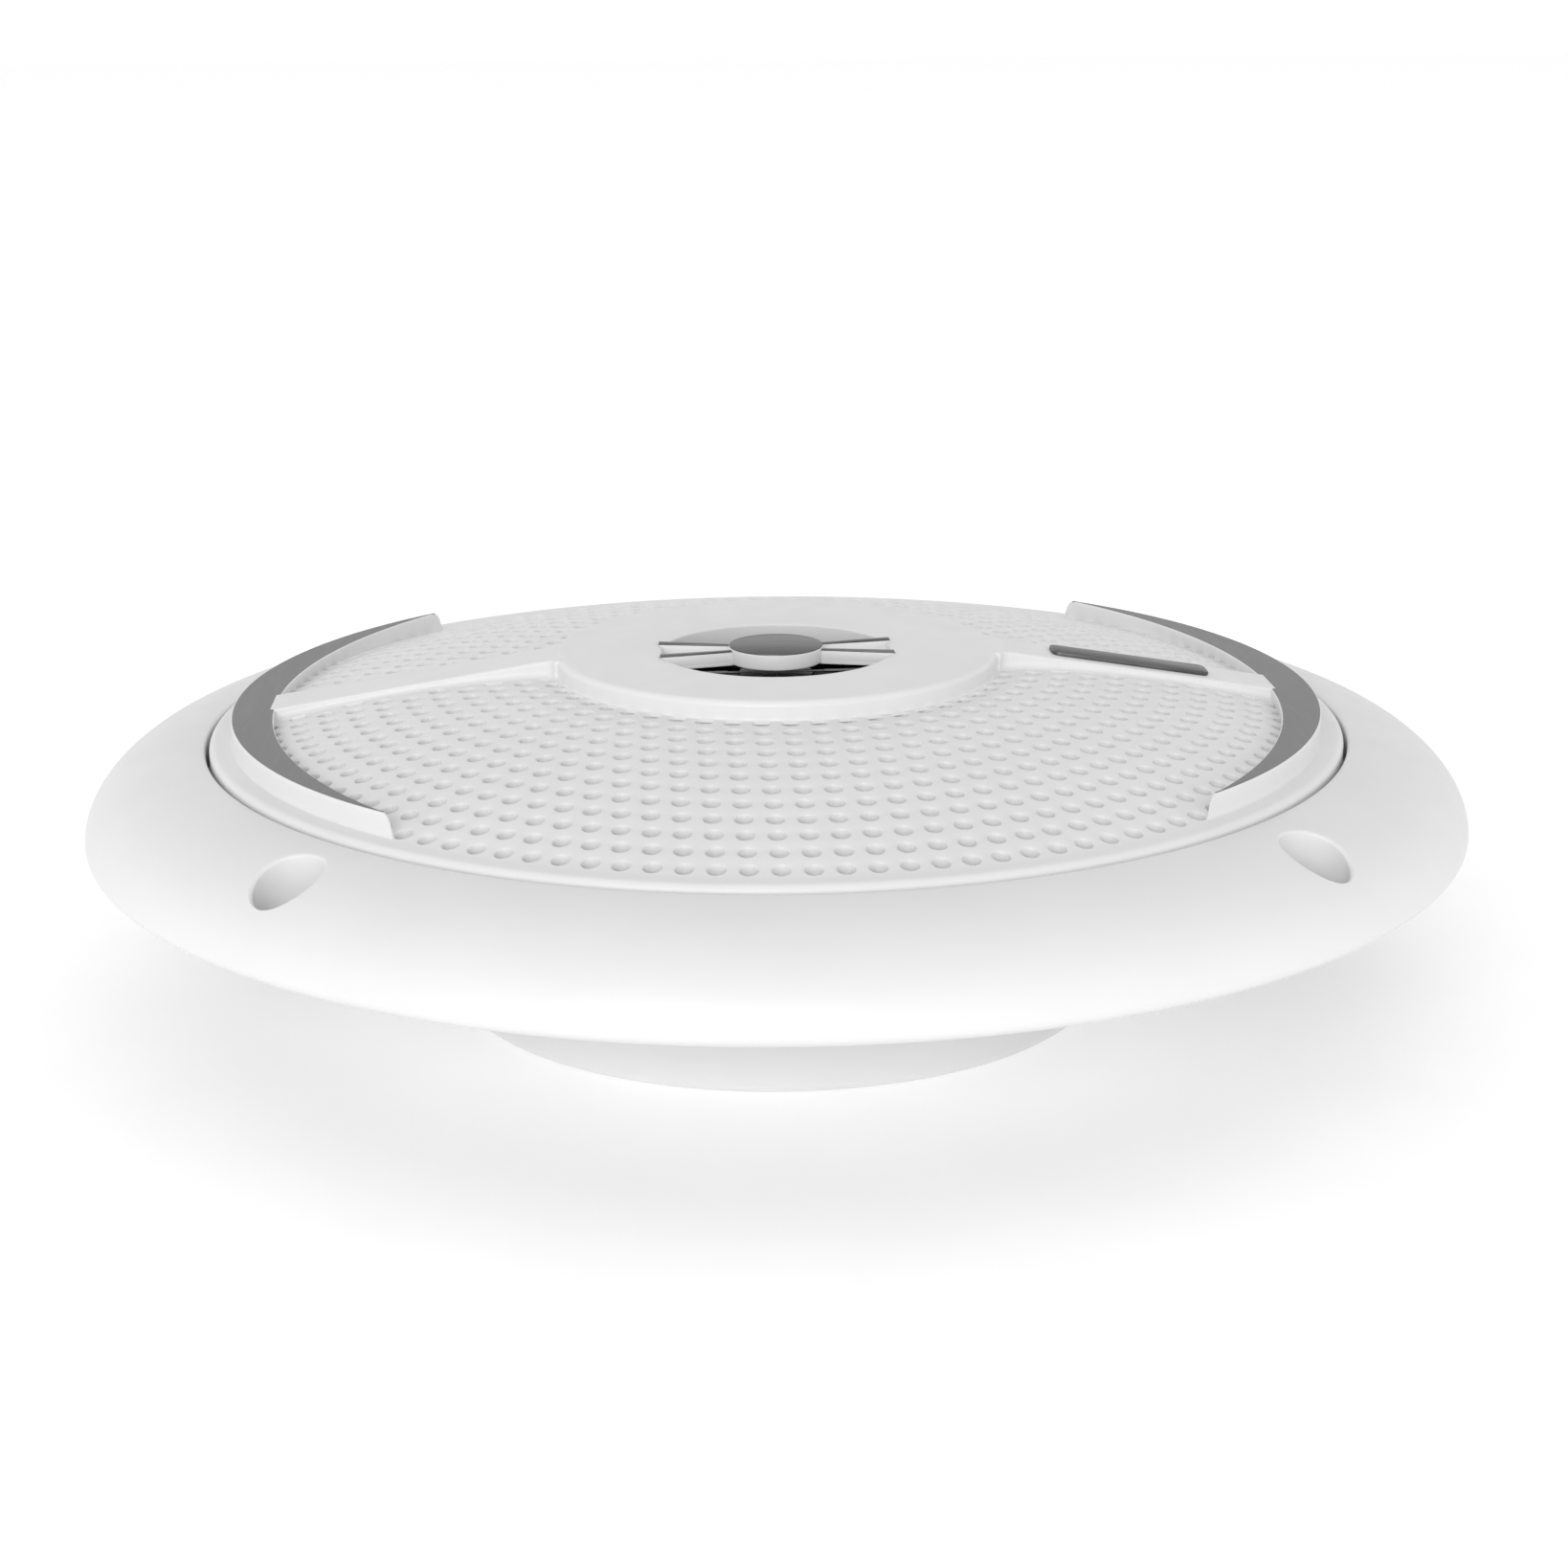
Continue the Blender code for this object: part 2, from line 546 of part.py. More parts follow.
def rib(side, word):
    """Raised rib from the hub ring out to the crescent, with a straight sloping top."""
    far = CRESCENT_INNER_RADIUS - CRESCENT_INNER_OFFSET + 0.2
    near, steps = HUB_RADIUS - 1.5, 4
    half = RIB_WIDTH / 2
    section = [(near, RIB_NEAR_Z), (far, RIB_FAR_Z)]
    for step in range(steps + 1):
        r = far + (near - far) * step / steps
        section.append((r, dome_z(r) - GRILLE_WALL / 2))
    mesh = bpy.data.meshes.new(f"rib_{word}")
    body = bmesh.new()
    flat = body.faces.new([body.verts.new((side * r * MM, -half * MM, z * MM)) for r, z in section])
    swept = bmesh.ops.extrude_face_region(body, geom=[flat])["geom"]
    new_verts = [item for item in swept if isinstance(item, bmesh.types.BMVert)]
    bmesh.ops.translate(body, verts=new_verts, vec=(0.0, RIB_WIDTH * MM, 0.0))
    bmesh.ops.recalc_face_normals(body, faces=body.faces)
    body.to_mesh(mesh)
    body.free()
    return place(f"rib_{word}", mesh)


def dome_shell():
    """The grille's skirt and dome as one turned shell."""
    steps, start = 7, TWEETER_RADIUS + 1.0
    skirt, skirt_bottom = 2.4, BEZEL_LEDGE_TOP_Z + GAP
    top = [(start, dome_z(start))]
    for step in range(steps):
        r = HUB_RADIUS + 0.5 + (LIP_FLAT_RADIUS - HUB_RADIUS - 0.5) * (step / steps) ** 0.8
        top.append((r, dome_z(r)))
    inside = [(LIP_RADIUS - skirt, skirt_bottom), (LIP_RADIUS - skirt, 35.2)]
    under = [(r, z - GRILLE_WALL) for r, z in top if r < LIP_RADIUS - skirt - 2.0]
    top.append((LIP_FLAT_RADIUS, dome_z(LIP_FLAT_RADIUS)))
    top += arc(LIP_RADIUS - LIP_ROUND, top[-1][1] - LIP_ROUND, LIP_ROUND, 90, 0, 2)
    return turned("grille", top + [(LIP_RADIUS, skirt_bottom)] + inside + under[::-1], WHITE)


def build_grille():
    """Domed grille in one moulding: skirt, dome, hub ring, ribs, crescents and middle disc."""
    grille = dome_shell()
    hub_back = TWEETER_FACE_Z + GAP
    outline = (arc(HUB_OPENING_RADIUS + 1.2, HUB_TOP_Z - 1.2, 1.2, 180, 90, 2)
               + arc(HUB_RADIUS - 0.8, HUB_TOP_Z - 0.8, 0.8, 90, 0, 2)
               + [(HUB_RADIUS, hub_back), (HUB_OPENING_RADIUS, hub_back)])
    combine(grille, turned("hub_ring", outline), "UNION")
    middle = disc("middle_disc", DISC_RADIUS, 44.6, ARM_TOP_Z, steps=24)
    for side, word in ((1, "right"), (-1, "left")):
        combine(grille, rib(side, word), "UNION")
        crescent = extruded(f"crescent_{word}", crescent_outline(side, 0.0), 36.95,
                            CRESCENT_TOP_Z - TRIM_THICKNESS - GAP)
        combine(grille, crescent, "UNION")
        near, far = DISC_RADIUS - 1.2, HUB_OPENING_RADIUS + 0.7
        arm = [(side * near, -ARM_NEAR_HALF), (side * far, -ARM_FAR_HALF), (side * far, ARM_FAR_HALF),
               (side * near, ARM_NEAR_HALF)]
        combine(middle, extruded(f"arm_{word}", arm, 44.3, ARM_TOP_Z), "UNION")
    combine(grille, middle, "UNION")
    tongues = copies("clip_tongues", box("tongue", (68.6, -5.0, 29.6), (71.2, 5.0, 37.1)), turns(4, 45.0))
    combine(grille, tongues, "UNION")


def build_trims():
    """Brushed plates: two crescents, and the middle disc with the four lines on its arms."""
    for side, word in ((1, "right"), (-1, "left")):
        extruded(f"crescent_trim_{word}", crescent_outline(side, 0.5), CRESCENT_TOP_Z - TRIM_THICKNESS,
                 CRESCENT_TOP_Z, SILVER)
    trim = disc("centre_trim", DISC_RADIUS - GAP, ARM_TOP_Z + GAP, DISC_TOP_Z, SILVER, 24)
    near, far, near_y, far_y = 4.9, HUB_OPENING_RADIUS - 0.6, 1.35, 3.7
    for index, (side, hand) in enumerate(((1, 1), (1, -1), (-1, 1), (-1, -1))):
        line = [(side * near, hand * (near_y - 0.5)), (side * far, hand * (far_y - 0.9)),
                (side * far, hand * (far_y + 0.9)), (side * near, hand * (near_y + 0.5))]
        combine(trim, extruded(f"line_{index}", line, ARM_TOP_Z + GAP, HUB_TOP_Z), "UNION")


def build_badge():
    """Plain plate on the right-hand rib."""
    length, width, thickness, middle_r = 22.0, 5.0, 0.8, 47.6
    near, far = HUB_RADIUS - 1.5, CRESCENT_INNER_RADIUS - CRESCENT_INNER_OFFSET + 0.2
    slope = (RIB_FAR_Z - RIB_NEAR_Z) / (far - near)
    z = RIB_NEAR_Z + slope * (middle_r - near) + GAP + thickness / 2
    corner = Vector((length / 2, width / 2, thickness / 2))
    badge = box("badge_plate", -corner, corner, SILVER)
    badge.location = (middle_r * MM, 0.0, z * MM)
    badge.rotation_euler = (0.0, -math.atan(slope), 0.0)


def shade_round_pieces():
    """Smooth shading on every part, with edges sharper than 35 degrees kept."""
    for obj in PARTS.objects:
        obj.data.shade_smooth()
        obj.data.set_sharp_from_angle(angle=math.radians(35.0))


build_bezel()
build_basket()
build_basket_screws()
build_gasket()
build_rear_cover()
build_motor()
build_cone()
build_surround()
build_spider()
build_terminals()
build_leads()
build_tweeter_post()
build_tweeter()
build_tweeter_face()
build_grille()
build_trims()
build_badge()
shade_round_pieces()
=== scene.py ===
import math

import bmesh
import bpy
import numpy as np
from mathutils import Matrix, Vector


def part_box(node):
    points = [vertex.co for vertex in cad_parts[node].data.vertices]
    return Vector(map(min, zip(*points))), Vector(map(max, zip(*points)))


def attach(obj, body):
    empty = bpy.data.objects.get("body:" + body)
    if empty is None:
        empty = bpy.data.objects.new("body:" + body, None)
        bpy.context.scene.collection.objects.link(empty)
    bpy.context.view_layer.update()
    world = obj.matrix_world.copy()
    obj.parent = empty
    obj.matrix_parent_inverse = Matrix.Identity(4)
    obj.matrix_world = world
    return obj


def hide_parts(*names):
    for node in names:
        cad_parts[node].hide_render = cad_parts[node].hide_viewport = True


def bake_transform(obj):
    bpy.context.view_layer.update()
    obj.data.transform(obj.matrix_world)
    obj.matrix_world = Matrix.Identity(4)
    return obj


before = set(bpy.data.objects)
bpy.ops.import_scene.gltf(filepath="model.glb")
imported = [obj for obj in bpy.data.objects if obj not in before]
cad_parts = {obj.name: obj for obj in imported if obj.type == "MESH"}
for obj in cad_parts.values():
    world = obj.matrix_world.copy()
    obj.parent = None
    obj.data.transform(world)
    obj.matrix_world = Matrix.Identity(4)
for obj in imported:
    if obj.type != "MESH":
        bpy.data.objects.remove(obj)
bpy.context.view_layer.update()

mm = 0.001  # every dictionary below is in millimetres
onAxis = 0.0001  # a circle small enough to turn copies about the axis
white, silver, black = "white", "silver", "black"


def nodeTop(node):
    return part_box(node)[1][2] / mm


def nodeBottom(node):
    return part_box(node)[0][2] / mm


def nodeRadius(node):
    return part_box(node)[1][0] / mm


# small mesh tools

def newMesh(name, verts, faces):
    mesh = bpy.data.meshes.new(name)
    mesh.from_pydata(verts, [], faces)
    mesh.update()
    return mesh


def newObject(name, mesh):
    obj = bpy.data.objects.new(name, mesh)
    bpy.context.scene.collection.objects.link(obj)
    return obj


def roundedPath(corners, count=4, closed=True):
    # corners are (a, b) or (a, b, radius); a radius turns the corner into an arc
    points = []
    total = len(corners)
    for index, corner in enumerate(corners):
        here = Vector(corner[:2])
        radius = corner[2] if len(corner) > 2 else 0.0
        if not radius or (not closed and index in (0, total - 1)):
            points.append(tuple(here))
            continue
        before = (Vector(corners[index - 1][:2]) - here).normalized()
        after = (Vector(corners[(index + 1) % total][:2]) - here).normalized()
        half = before.angle(after) / 2
        middle = here + (before + after).normalized() * (radius / math.sin(half))
        first = here + before * (radius / math.tan(half)) - middle
        last = here + after * (radius / math.tan(half)) - middle
        sweep = first.angle_signed(last)
        for step in range(count + 1):
            turned = first.copy()
            turned.rotate(Matrix.Rotation(-sweep * step / count, 2))
            points.append(tuple(middle + turned))
    return points


def turnedMesh(name, outline, steps=192, closed=True):
    # the (radius, height) outline runs down its outer side; radius 0 makes a pole
    verts, rows = [], []
    for radius, height in outline:
        if radius == 0.0:
            rows.append([len(verts)] * steps)
            verts.append((0.0, 0.0, height * mm))
            continue
        rows.append(list(range(len(verts), len(verts) + steps)))
        for step in range(steps):
            angle = 2 * math.pi * step / steps
            verts.append((radius * math.cos(angle) * mm, radius * math.sin(angle) * mm, height * mm))
    faces = []
    pairs = list(zip(rows, rows[1:]))
    if closed and outline[0][0] > 0.0:
        pairs.append((rows[-1], rows[0]))
    for upper, lower in pairs:
        for step in range(steps):
            after = (step + 1) % steps
            face = [upper[step], lower[step], lower[after], upper[after]]
            face = [v for place, v in enumerate(face) if v != face[place - 1]]
            if len(face) > 2:
                faces.append(face)
    return newMesh(name, verts, faces)


def raisedMesh(name, outline, low, high):
    # a flat (x, y) outline, counter-clockwise, raised between two heights
    count = len(outline)
    verts = [(x * mm, y * mm, z * mm) for z in (low, high) for x, y in outline]
    faces = [list(range(count))[::-1], list(range(count, 2 * count))]
    for index in range(count):
        after = (index + 1) % count
        faces.append([index, after, count + after, count + index])
    return newMesh(name, verts, faces)


def applied(obj):
    # the object's modifiers become its mesh
    bpy.context.view_layer.update()
    mesh = bpy.data.meshes.new_from_object(obj.evaluated_get(bpy.context.evaluated_depsgraph_get()))
    obj.modifiers.clear()
    old = obj.data
    obj.data = mesh
    bpy.data.meshes.remove(old)
    return obj


def bevelled(obj, width, segments=3, angle=40.0):
    bevel = obj.modifiers.new("edges", "BEVEL")
    bevel.width = width * mm
    bevel.segments = segments
    bevel.limit_method = "ANGLE"
    bevel.angle_limit = math.radians(angle)
    return applied(obj)


def combined(obj, other, operation):
    boolean = obj.modifiers.new("cut", "BOOLEAN")
    boolean.operation = operation
    boolean.solver = "EXACT"
    boolean.object = other
    applied(obj)
    bpy.data.objects.remove(other)
    return obj


def joinedCopies(name, mesh, placings):
    body = bmesh.new()
    for placing in placings:
        before = len(body.verts)
        body.from_mesh(mesh)
        body.verts.ensure_lookup_table()
        bmesh.ops.transform(body, matrix=placing, verts=body.verts[before:])
    result = bpy.data.meshes.new(name)
    body.to_mesh(result)
    body.free()
    return newObject(name, result)


def turns(count, first, radius=0.0):
    out = Matrix.Translation((radius * mm, 0.0, 0.0))
    angles = [math.radians(first + 360.0 * index / count) for index in range(count)]
    return [Matrix.Rotation(angle, 4, "Z") @ out for angle in angles]


def outward(obj):
    body = bmesh.new()
    body.from_mesh(obj.data)
    bmesh.ops.recalc_face_normals(body, faces=body.faces)
    body.to_mesh(obj.data)
    body.free()


def dressed(obj, material, slotName, nodes, angle=38.0):
    obj.data.materials.clear()
    obj.data.materials.append(material)
    for polygon in obj.data.polygons:
        polygon.material_index = 0
    obj.data.shade_smooth()
    obj.data.set_sharp_from_angle(angle=math.radians(angle))
    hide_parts(*nodes)


def finished(obj, body, material, slotName, nodes, angle=38.0):
    dressed(obj, material, slotName, nodes, angle)
    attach(obj, body)


def turnedPiece(name, outline, body, material, slotName, node, steps=192, closed=True):
    # a shape turned about the axis, which replaces one node
    finished(newObject(name, turnedMesh(name, outline, steps, closed)), body, material, slotName, [node])


# materials

class nodeTree:
    # a short way to add nodes and join them
    def __init__(self, material):
        material.use_nodes = True
        self.tree = material.node_tree
        self.shader = self.tree.nodes["Principled BSDF"]
        self.place = self.add("ShaderNodeTexCoord").outputs["Object"]

    def add(self, kind, **values):
        node = self.tree.nodes.new(kind)
        for key, value in values.items():
            if hasattr(node, key):
                setattr(node, key, value)
            else:
                node.inputs[key].default_value = value
        return node

    def join(self, output, target):
        self.tree.links.new(output, target)

    def noise(self, scale, detail=3.0, stretch=None):
        source = self.place
        if stretch:
            mapping = self.add("ShaderNodeMapping")
            mapping.inputs["Scale"].default_value = stretch
            self.join(source, mapping.inputs["Vector"])
            source = mapping.outputs["Vector"]
        noise = self.add("ShaderNodeTexNoise")
        noise.inputs["Scale"].default_value = scale
        noise.inputs["Detail"].default_value = detail
        self.join(source, noise.inputs["Vector"])
        return noise.outputs["Fac"]

    def spread(self, value, low, high, fromLow=0.3, fromHigh=0.7):
        ranged = self.add("ShaderNodeMapRange")
        for key, number in (("From Min", fromLow), ("From Max", fromHigh), ("To Min", low), ("To Max", high)):
            ranged.inputs[key].default_value = number
        self.join(value, ranged.inputs["Value"])
        return ranged.outputs["Result"]

    def roughen(self, value):
        self.join(value, self.shader.inputs["Roughness"])

    def tint(self, value, dark, light):
        ramp = self.add("ShaderNodeValToRGB")
        ramp.color_ramp.elements[0].position = 0.3
        ramp.color_ramp.elements[1].position = 0.7
        ramp.color_ramp.elements[0].color = (*dark, 1.0)
        ramp.color_ramp.elements[1].color = (*light, 1.0)
        self.join(value, ramp.inputs["Fac"])
        self.join(ramp.outputs["Color"], self.shader.inputs["Base Color"])

    def relief(self, value, strength, depth, after=None):
        bump = self.add("ShaderNodeBump")
        bump.inputs["Strength"].default_value = strength
        bump.inputs["Distance"].default_value = depth * mm
        self.join(value, bump.inputs["Height"])
        if after:
            self.join(after, bump.inputs["Normal"])
        self.join(bump.outputs["Normal"], self.shader.inputs["Normal"])
        return bump.outputs["Normal"]


def shades(colour, amount):
    return [tuple(max(0.0, min(1.0, c * f)) for c in colour) for f in (1 - amount, 1 + amount)]


def mouldedPlastic(name, colour, roughness, grain=0.10, specular=0.5):
    # satin moulded plastic: slow colour drift, fine spark-eroded grain
    material = bpy.data.materials.new(name)
    nodes = nodeTree(material)
    nodes.tint(nodes.noise(60.0), *shades(colour, 0.012))
    nodes.roughen(nodes.spread(nodes.noise(260.0), roughness - 0.05, roughness + 0.05))
    nodes.relief(nodes.noise(2600.0, 4.0), grain, 0.03)
    nodes.shader.inputs["Specular IOR Level"].default_value = specular
    return material


def brushedMetal(name, colour, roughness, along, grain=0.25):
    # fine parallel scratches; along is the scratches' direction as a stretch of the pattern
    material = bpy.data.materials.new(name)
    nodes = nodeTree(material)
    fine = nodes.noise(1.0, 5.0, along)
    nodes.tint(fine, *shades(colour, 0.26))
    nodes.roughen(nodes.spread(fine, roughness - 0.08, roughness + 0.10))
    nodes.relief(fine, grain, 0.02)
    nodes.shader.inputs["Metallic"].default_value = 1.0
    return material


def turnedMetal(name, colour, roughness):
    # machined or plated metal with faint mottling
    material = bpy.data.materials.new(name)
    nodes = nodeTree(material)
    nodes.tint(nodes.noise(500.0), *shades(colour, 0.06))
    nodes.roughen(nodes.spread(nodes.noise(1500.0), roughness - 0.06, roughness + 0.08))
    nodes.relief(nodes.noise(3000.0), 0.08, 0.01)
    nodes.shader.inputs["Metallic"].default_value = 1.0
    return material


def softMaterial(name, colour, roughness, scale, depth, sheen=0.0):
    # rubber, foam, felt and cloth: a bumpy matt surface
    material = bpy.data.materials.new(name)
    nodes = nodeTree(material)
    nodes.tint(nodes.noise(scale * 0.4), *shades(colour, 0.12))
    nodes.roughen(nodes.spread(nodes.noise(scale), roughness - 0.06, roughness + 0.06))
    nodes.relief(nodes.noise(scale * 2, 5.0), 0.4, depth)
    nodes.shader.inputs["Sheen Weight"].default_value = sheen
    return material


def wovenCloth(name, colour, pitch):
    # two crossed waves of threads
    material = bpy.data.materials.new(name)
    nodes = nodeTree(material)
    nodes.tint(nodes.noise(400.0), *shades(colour, 0.15))
    waves = []
    for direction in ("X", "Y"):
        wave = nodes.add("ShaderNodeTexWave", bands_direction=direction)
        wave.inputs["Scale"].default_value = 1.0 / (pitch * mm) / math.tau * 2
        nodes.join(nodes.place, wave.inputs["Vector"])
        waves.append(wave.outputs["Fac"])
    product = nodes.add("ShaderNodeMath", operation="MULTIPLY")
    for index, wave in enumerate(waves):
        nodes.join(wave, product.inputs[index])
    nodes.relief(product.outputs["Value"], 0.5, 0.1)
    nodes.shader.inputs["Roughness"].default_value = 0.85
    return material


whitePlastic = mouldedPlastic("satinWhitePlastic", (0.745, 0.745, 0.745), 0.42)
backPlastic = mouldedPlastic("backWhitePlastic", (0.76, 0.76, 0.76), 0.50, 0.16)
conePlastic = mouldedPlastic("whiteCone", (0.78, 0.78, 0.77), 0.48, 0.14)
blackPlastic = mouldedPlastic("blackPlastic", (0.007, 0.007, 0.008), 0.40, 0.12, 0.3)
lightLine = mouldedPlastic("tweeterLines", (0.35, 0.35, 0.36), 0.40)
crescentSilver = brushedMetal("brushedCrescent", (0.188, 0.188, 0.192), 0.42, (5200.0, 160.0, 160.0))
middleSilver = brushedMetal("brushedMiddle", (0.118, 0.118, 0.121), 0.40, (160.0, 5200.0, 160.0))
machinedSteel = turnedMetal("machinedSteel", (0.55, 0.56, 0.58), 0.32)
zincPlate = turnedMetal("zincPlate", (0.66, 0.67, 0.68), 0.26)
brassPlate = turnedMetal("tinnedBrass", (0.75, 0.62, 0.36), 0.28)
copperWire = turnedMetal("enamelledCopper", (0.65, 0.32, 0.16), 0.35)
ferrite = softMaterial("ferrite", (0.045, 0.045, 0.05), 0.62, 900.0, 0.05)
rubber = softMaterial("surroundRubber", (0.018, 0.018, 0.019), 0.62, 700.0, 0.02, 0.1)
foam = softMaterial("closedCellFoam", (0.03, 0.03, 0.032), 0.92, 1400.0, 0.2)
polyimide = mouldedPlastic("polyimideFilm", (0.50, 0.26, 0.07), 0.36)
spiderCloth = wovenCloth("spiderCloth", (0.58, 0.46, 0.22), 0.5)
domeSilk = wovenCloth("domeSilk", (0.03, 0.03, 0.032), 0.25)
print("materials ready")

# the grille

grilleSizes = {
    "lipRadius": nodeRadius("grille"), "hubTop": nodeTop("grille"), "skirtBottom": 32.7,
    "lipHeight": nodeTop("bezel"), "domeRise": 7.4, "domePower": 1.8, "hubRadius": 29.5,
    "openingRadius": 15.3, "openingRound": 0.3, "hubRound": 0.9, "wall": 2.0,
    "skirtWall": 2.4, "sheetInner": 26.0, "sheetOuter": 72.2, "lipRound": 1.0, "openingDish": 18.8,
    "dishDepth": 0.42,
}
perforation = {
    "firstRing": 30.6, "ringStep": 3.64, "rings": 12, "pitch": 3.61, "mouthRadius": 1.34,
    "boreRadius": 1.05, "mouthDepth": 0.42, "segments": 14, "ribMargin": 0.5, "crescentMargin": -0.9,
    "sheetSteps": 240, "weld": 0.02,
}
crescentSizes = {
    "outerRadius": 72.0, "innerRadius": 86.9, "innerOffset": 20.5, "top": nodeTop("crescent_trim_right"),
    "bottom": 36.5, "trim": 0.3, "endAngle": 48.0, "tipWidth": 0.16, "foot": 0.25,
}
ribSizes = {"width": 8.2, "nearHeight": 46.35, "farHeight": 40.2, "far": 66.9, "round": 0.4, "fillet": 0.9,
            "hubFillet": 1.3}


def domeHeight(radius):
    sizes = grilleSizes
    share = max(radius - sizes["hubRadius"], 0.0) / (sizes["lipRadius"] - sizes["hubRadius"])
    return sizes["lipHeight"] + sizes["domeRise"] * (1.0 - share ** sizes["domePower"])


def insideCrescent(x, y, margin):
    sizes = crescentSizes
    beyondInner = math.hypot(abs(x) + sizes["innerOffset"], y) > sizes["innerRadius"] - margin
    withinEnds = abs(math.degrees(math.atan2(y, abs(x)))) < sizes["endAngle"]
    return beyondInner and withinEnds


def perforationPoints():
    # concentric rings in the two open fields, laid out from the line across the ribs
    points = []
    for ring in range(perforation["rings"]):
        radius = perforation["firstRing"] + perforation["ringStep"] * ring
        stepAngle = perforation["pitch"] / radius
        reach = int(math.pi / 2 / stepAngle)
        for side in (1, -1):
            for index in range(-reach, reach + 1):
                angle = side * math.pi / 2 + index * stepAngle
                x, y = radius * math.cos(angle), radius * math.sin(angle)
                if abs(y) < ribSizes["width"] / 2 + perforation["ribMargin"]:
                    continue
                if insideCrescent(x, y, perforation["crescentMargin"]):
                    continue
                points.append((x * mm, y * mm, 0.0))
    return points


class geometryTree:
    # a node tree with named inputs, which ends in one material
    def __init__(self, name, inputs):
        self.tree = bpy.data.node_groups.new(name, "GeometryNodeTree")
        face = self.tree.interface
        face.new_socket("Geometry", in_out="INPUT", socket_type="NodeSocketGeometry")
        face.new_socket("Geometry", in_out="OUTPUT", socket_type="NodeSocketGeometry")
        for kind, labels in inputs.items():
            for label in labels:
                face.new_socket(label, in_out="INPUT", socket_type="NodeSocket" + kind)
        self.given = self.tree.nodes.new("NodeGroupInput").outputs

    def made(self, kind, inputs, output, operation=None):
        node = self.tree.nodes.new(kind)
        if operation:
            node.operation = operation
        for key, source in inputs.items():
            if isinstance(source, bpy.types.NodeSocket):
                self.tree.links.new(source, node.inputs[key])
            else:
                node.inputs[key].default_value = source
        return node.outputs[output]

    def joined(self, *parts):
        node = self.tree.nodes.new("GeometryNodeJoinGeometry")
        for part in parts:
            self.tree.links.new(part, node.inputs["Geometry"])
        return node.outputs["Geometry"]

    def onPoints(self, points, shape, **more):
        inputs = {"Points": points, "Instance": shape, **more}
        copies = self.made("GeometryNodeInstanceOnPoints", inputs, "Instances")
        return self.made("GeometryNodeRealizeInstances", {"Geometry": copies}, "Geometry")

    def ended(self, shape, material):
        real = self.made("GeometryNodeRealizeInstances", {"Geometry": shape}, "Geometry")
        colour = self.made("GeometryNodeSetMaterial", {"Geometry": real, "Material": material}, "Geometry")
        self.tree.links.new(colour, self.tree.nodes.new("NodeGroupOutput").inputs["Geometry"])
        return self.tree


def perforatedTree(domeMaterial):
    # points in, a drilled and domed sheet out, welded to the rims
    group = geometryTree("perforatedDome", {
        "Object": ("Hole Wall", "Rims"),
        "Float": ("Mouth Radius", "Bore Radius", "Thickness", "Inner Radius", "Outer Radius", "Dome Start",
                  "Dome Span", "Dome Rise", "Dome Power", "Lip Height"),
        "Int": ("Hole Segments", "Rim Segments")})
    given, made = group.given, group.made

    def circle(radiusName, segmentsName):
        inputs = {"Radius": given[radiusName], "Resolution": given[segmentsName]}
        return made("GeometryNodeCurvePrimitiveCircle", inputs, "Curve")

    def calc(operation, first, second):
        return made("ShaderNodeMath", {0: first, 1: second}, "Value", operation)

    def sheet(radiusName):
        rims = [circle(name, "Rim Segments") for name in ("Inner Radius", "Outer Radius")]
        holes = group.onPoints(given["Geometry"], circle(radiusName, "Hole Segments"))
        return made("GeometryNodeFillCurve", {"Curve": group.joined(holes, *rims)}, "Mesh")

    def moved(shape, height):
        offset = made("ShaderNodeCombineXYZ", {"Z": height}, "Vector")
        return made("GeometryNodeSetPosition", {"Geometry": shape, "Offset": offset}, "Geometry")

    under = moved(sheet("Bore Radius"), calc("MULTIPLY", given["Thickness"], -1.0))
    wall = made("GeometryNodeObjectInfo", {"Object": given["Hole Wall"]}, "Geometry")
    flat = group.joined(sheet("Mouth Radius"), made("GeometryNodeFlipFaces", {"Mesh": under}, "Mesh"),
                        group.onPoints(given["Geometry"], wall))
    place = made("GeometryNodeInputPosition", {}, "Position")
    level = made("ShaderNodeVectorMath", {0: place, 1: (1.0, 1.0, 0.0)}, "Vector", "MULTIPLY")
    radius = made("ShaderNodeVectorMath", {0: level}, "Value", "LENGTH")
    beyond = calc("MAXIMUM", calc("SUBTRACT", radius, given["Dome Start"]), 0.0)
    fall = calc("POWER", calc("DIVIDE", beyond, given["Dome Span"]), given["Dome Power"])
    rise = calc("MULTIPLY", calc("SUBTRACT", 1.0, fall), given["Dome Rise"])
    domed = moved(flat, calc("ADD", rise, given["Lip Height"]))
    rims = made("GeometryNodeObjectInfo", {"Object": given["Rims"]}, "Geometry")
    whole = {"Geometry": group.joined(domed, rims), "Distance": perforation["weld"] * mm}
    return group.ended(made("GeometryNodeMergeByDistance", whole, "Geometry"), domeMaterial)


def runTree(obj, tree, values):
    # inputs are set by their identifiers, then the result becomes the mesh
    modifier = obj.modifiers.new("nodes", "NODES")
    modifier.node_group = tree
    for item in tree.interface.items_tree:
        if item.item_type == "SOCKET" and item.in_out == "INPUT" and item.name in values:
            modifier[item.identifier] = values[item.name]
    return applied(obj)


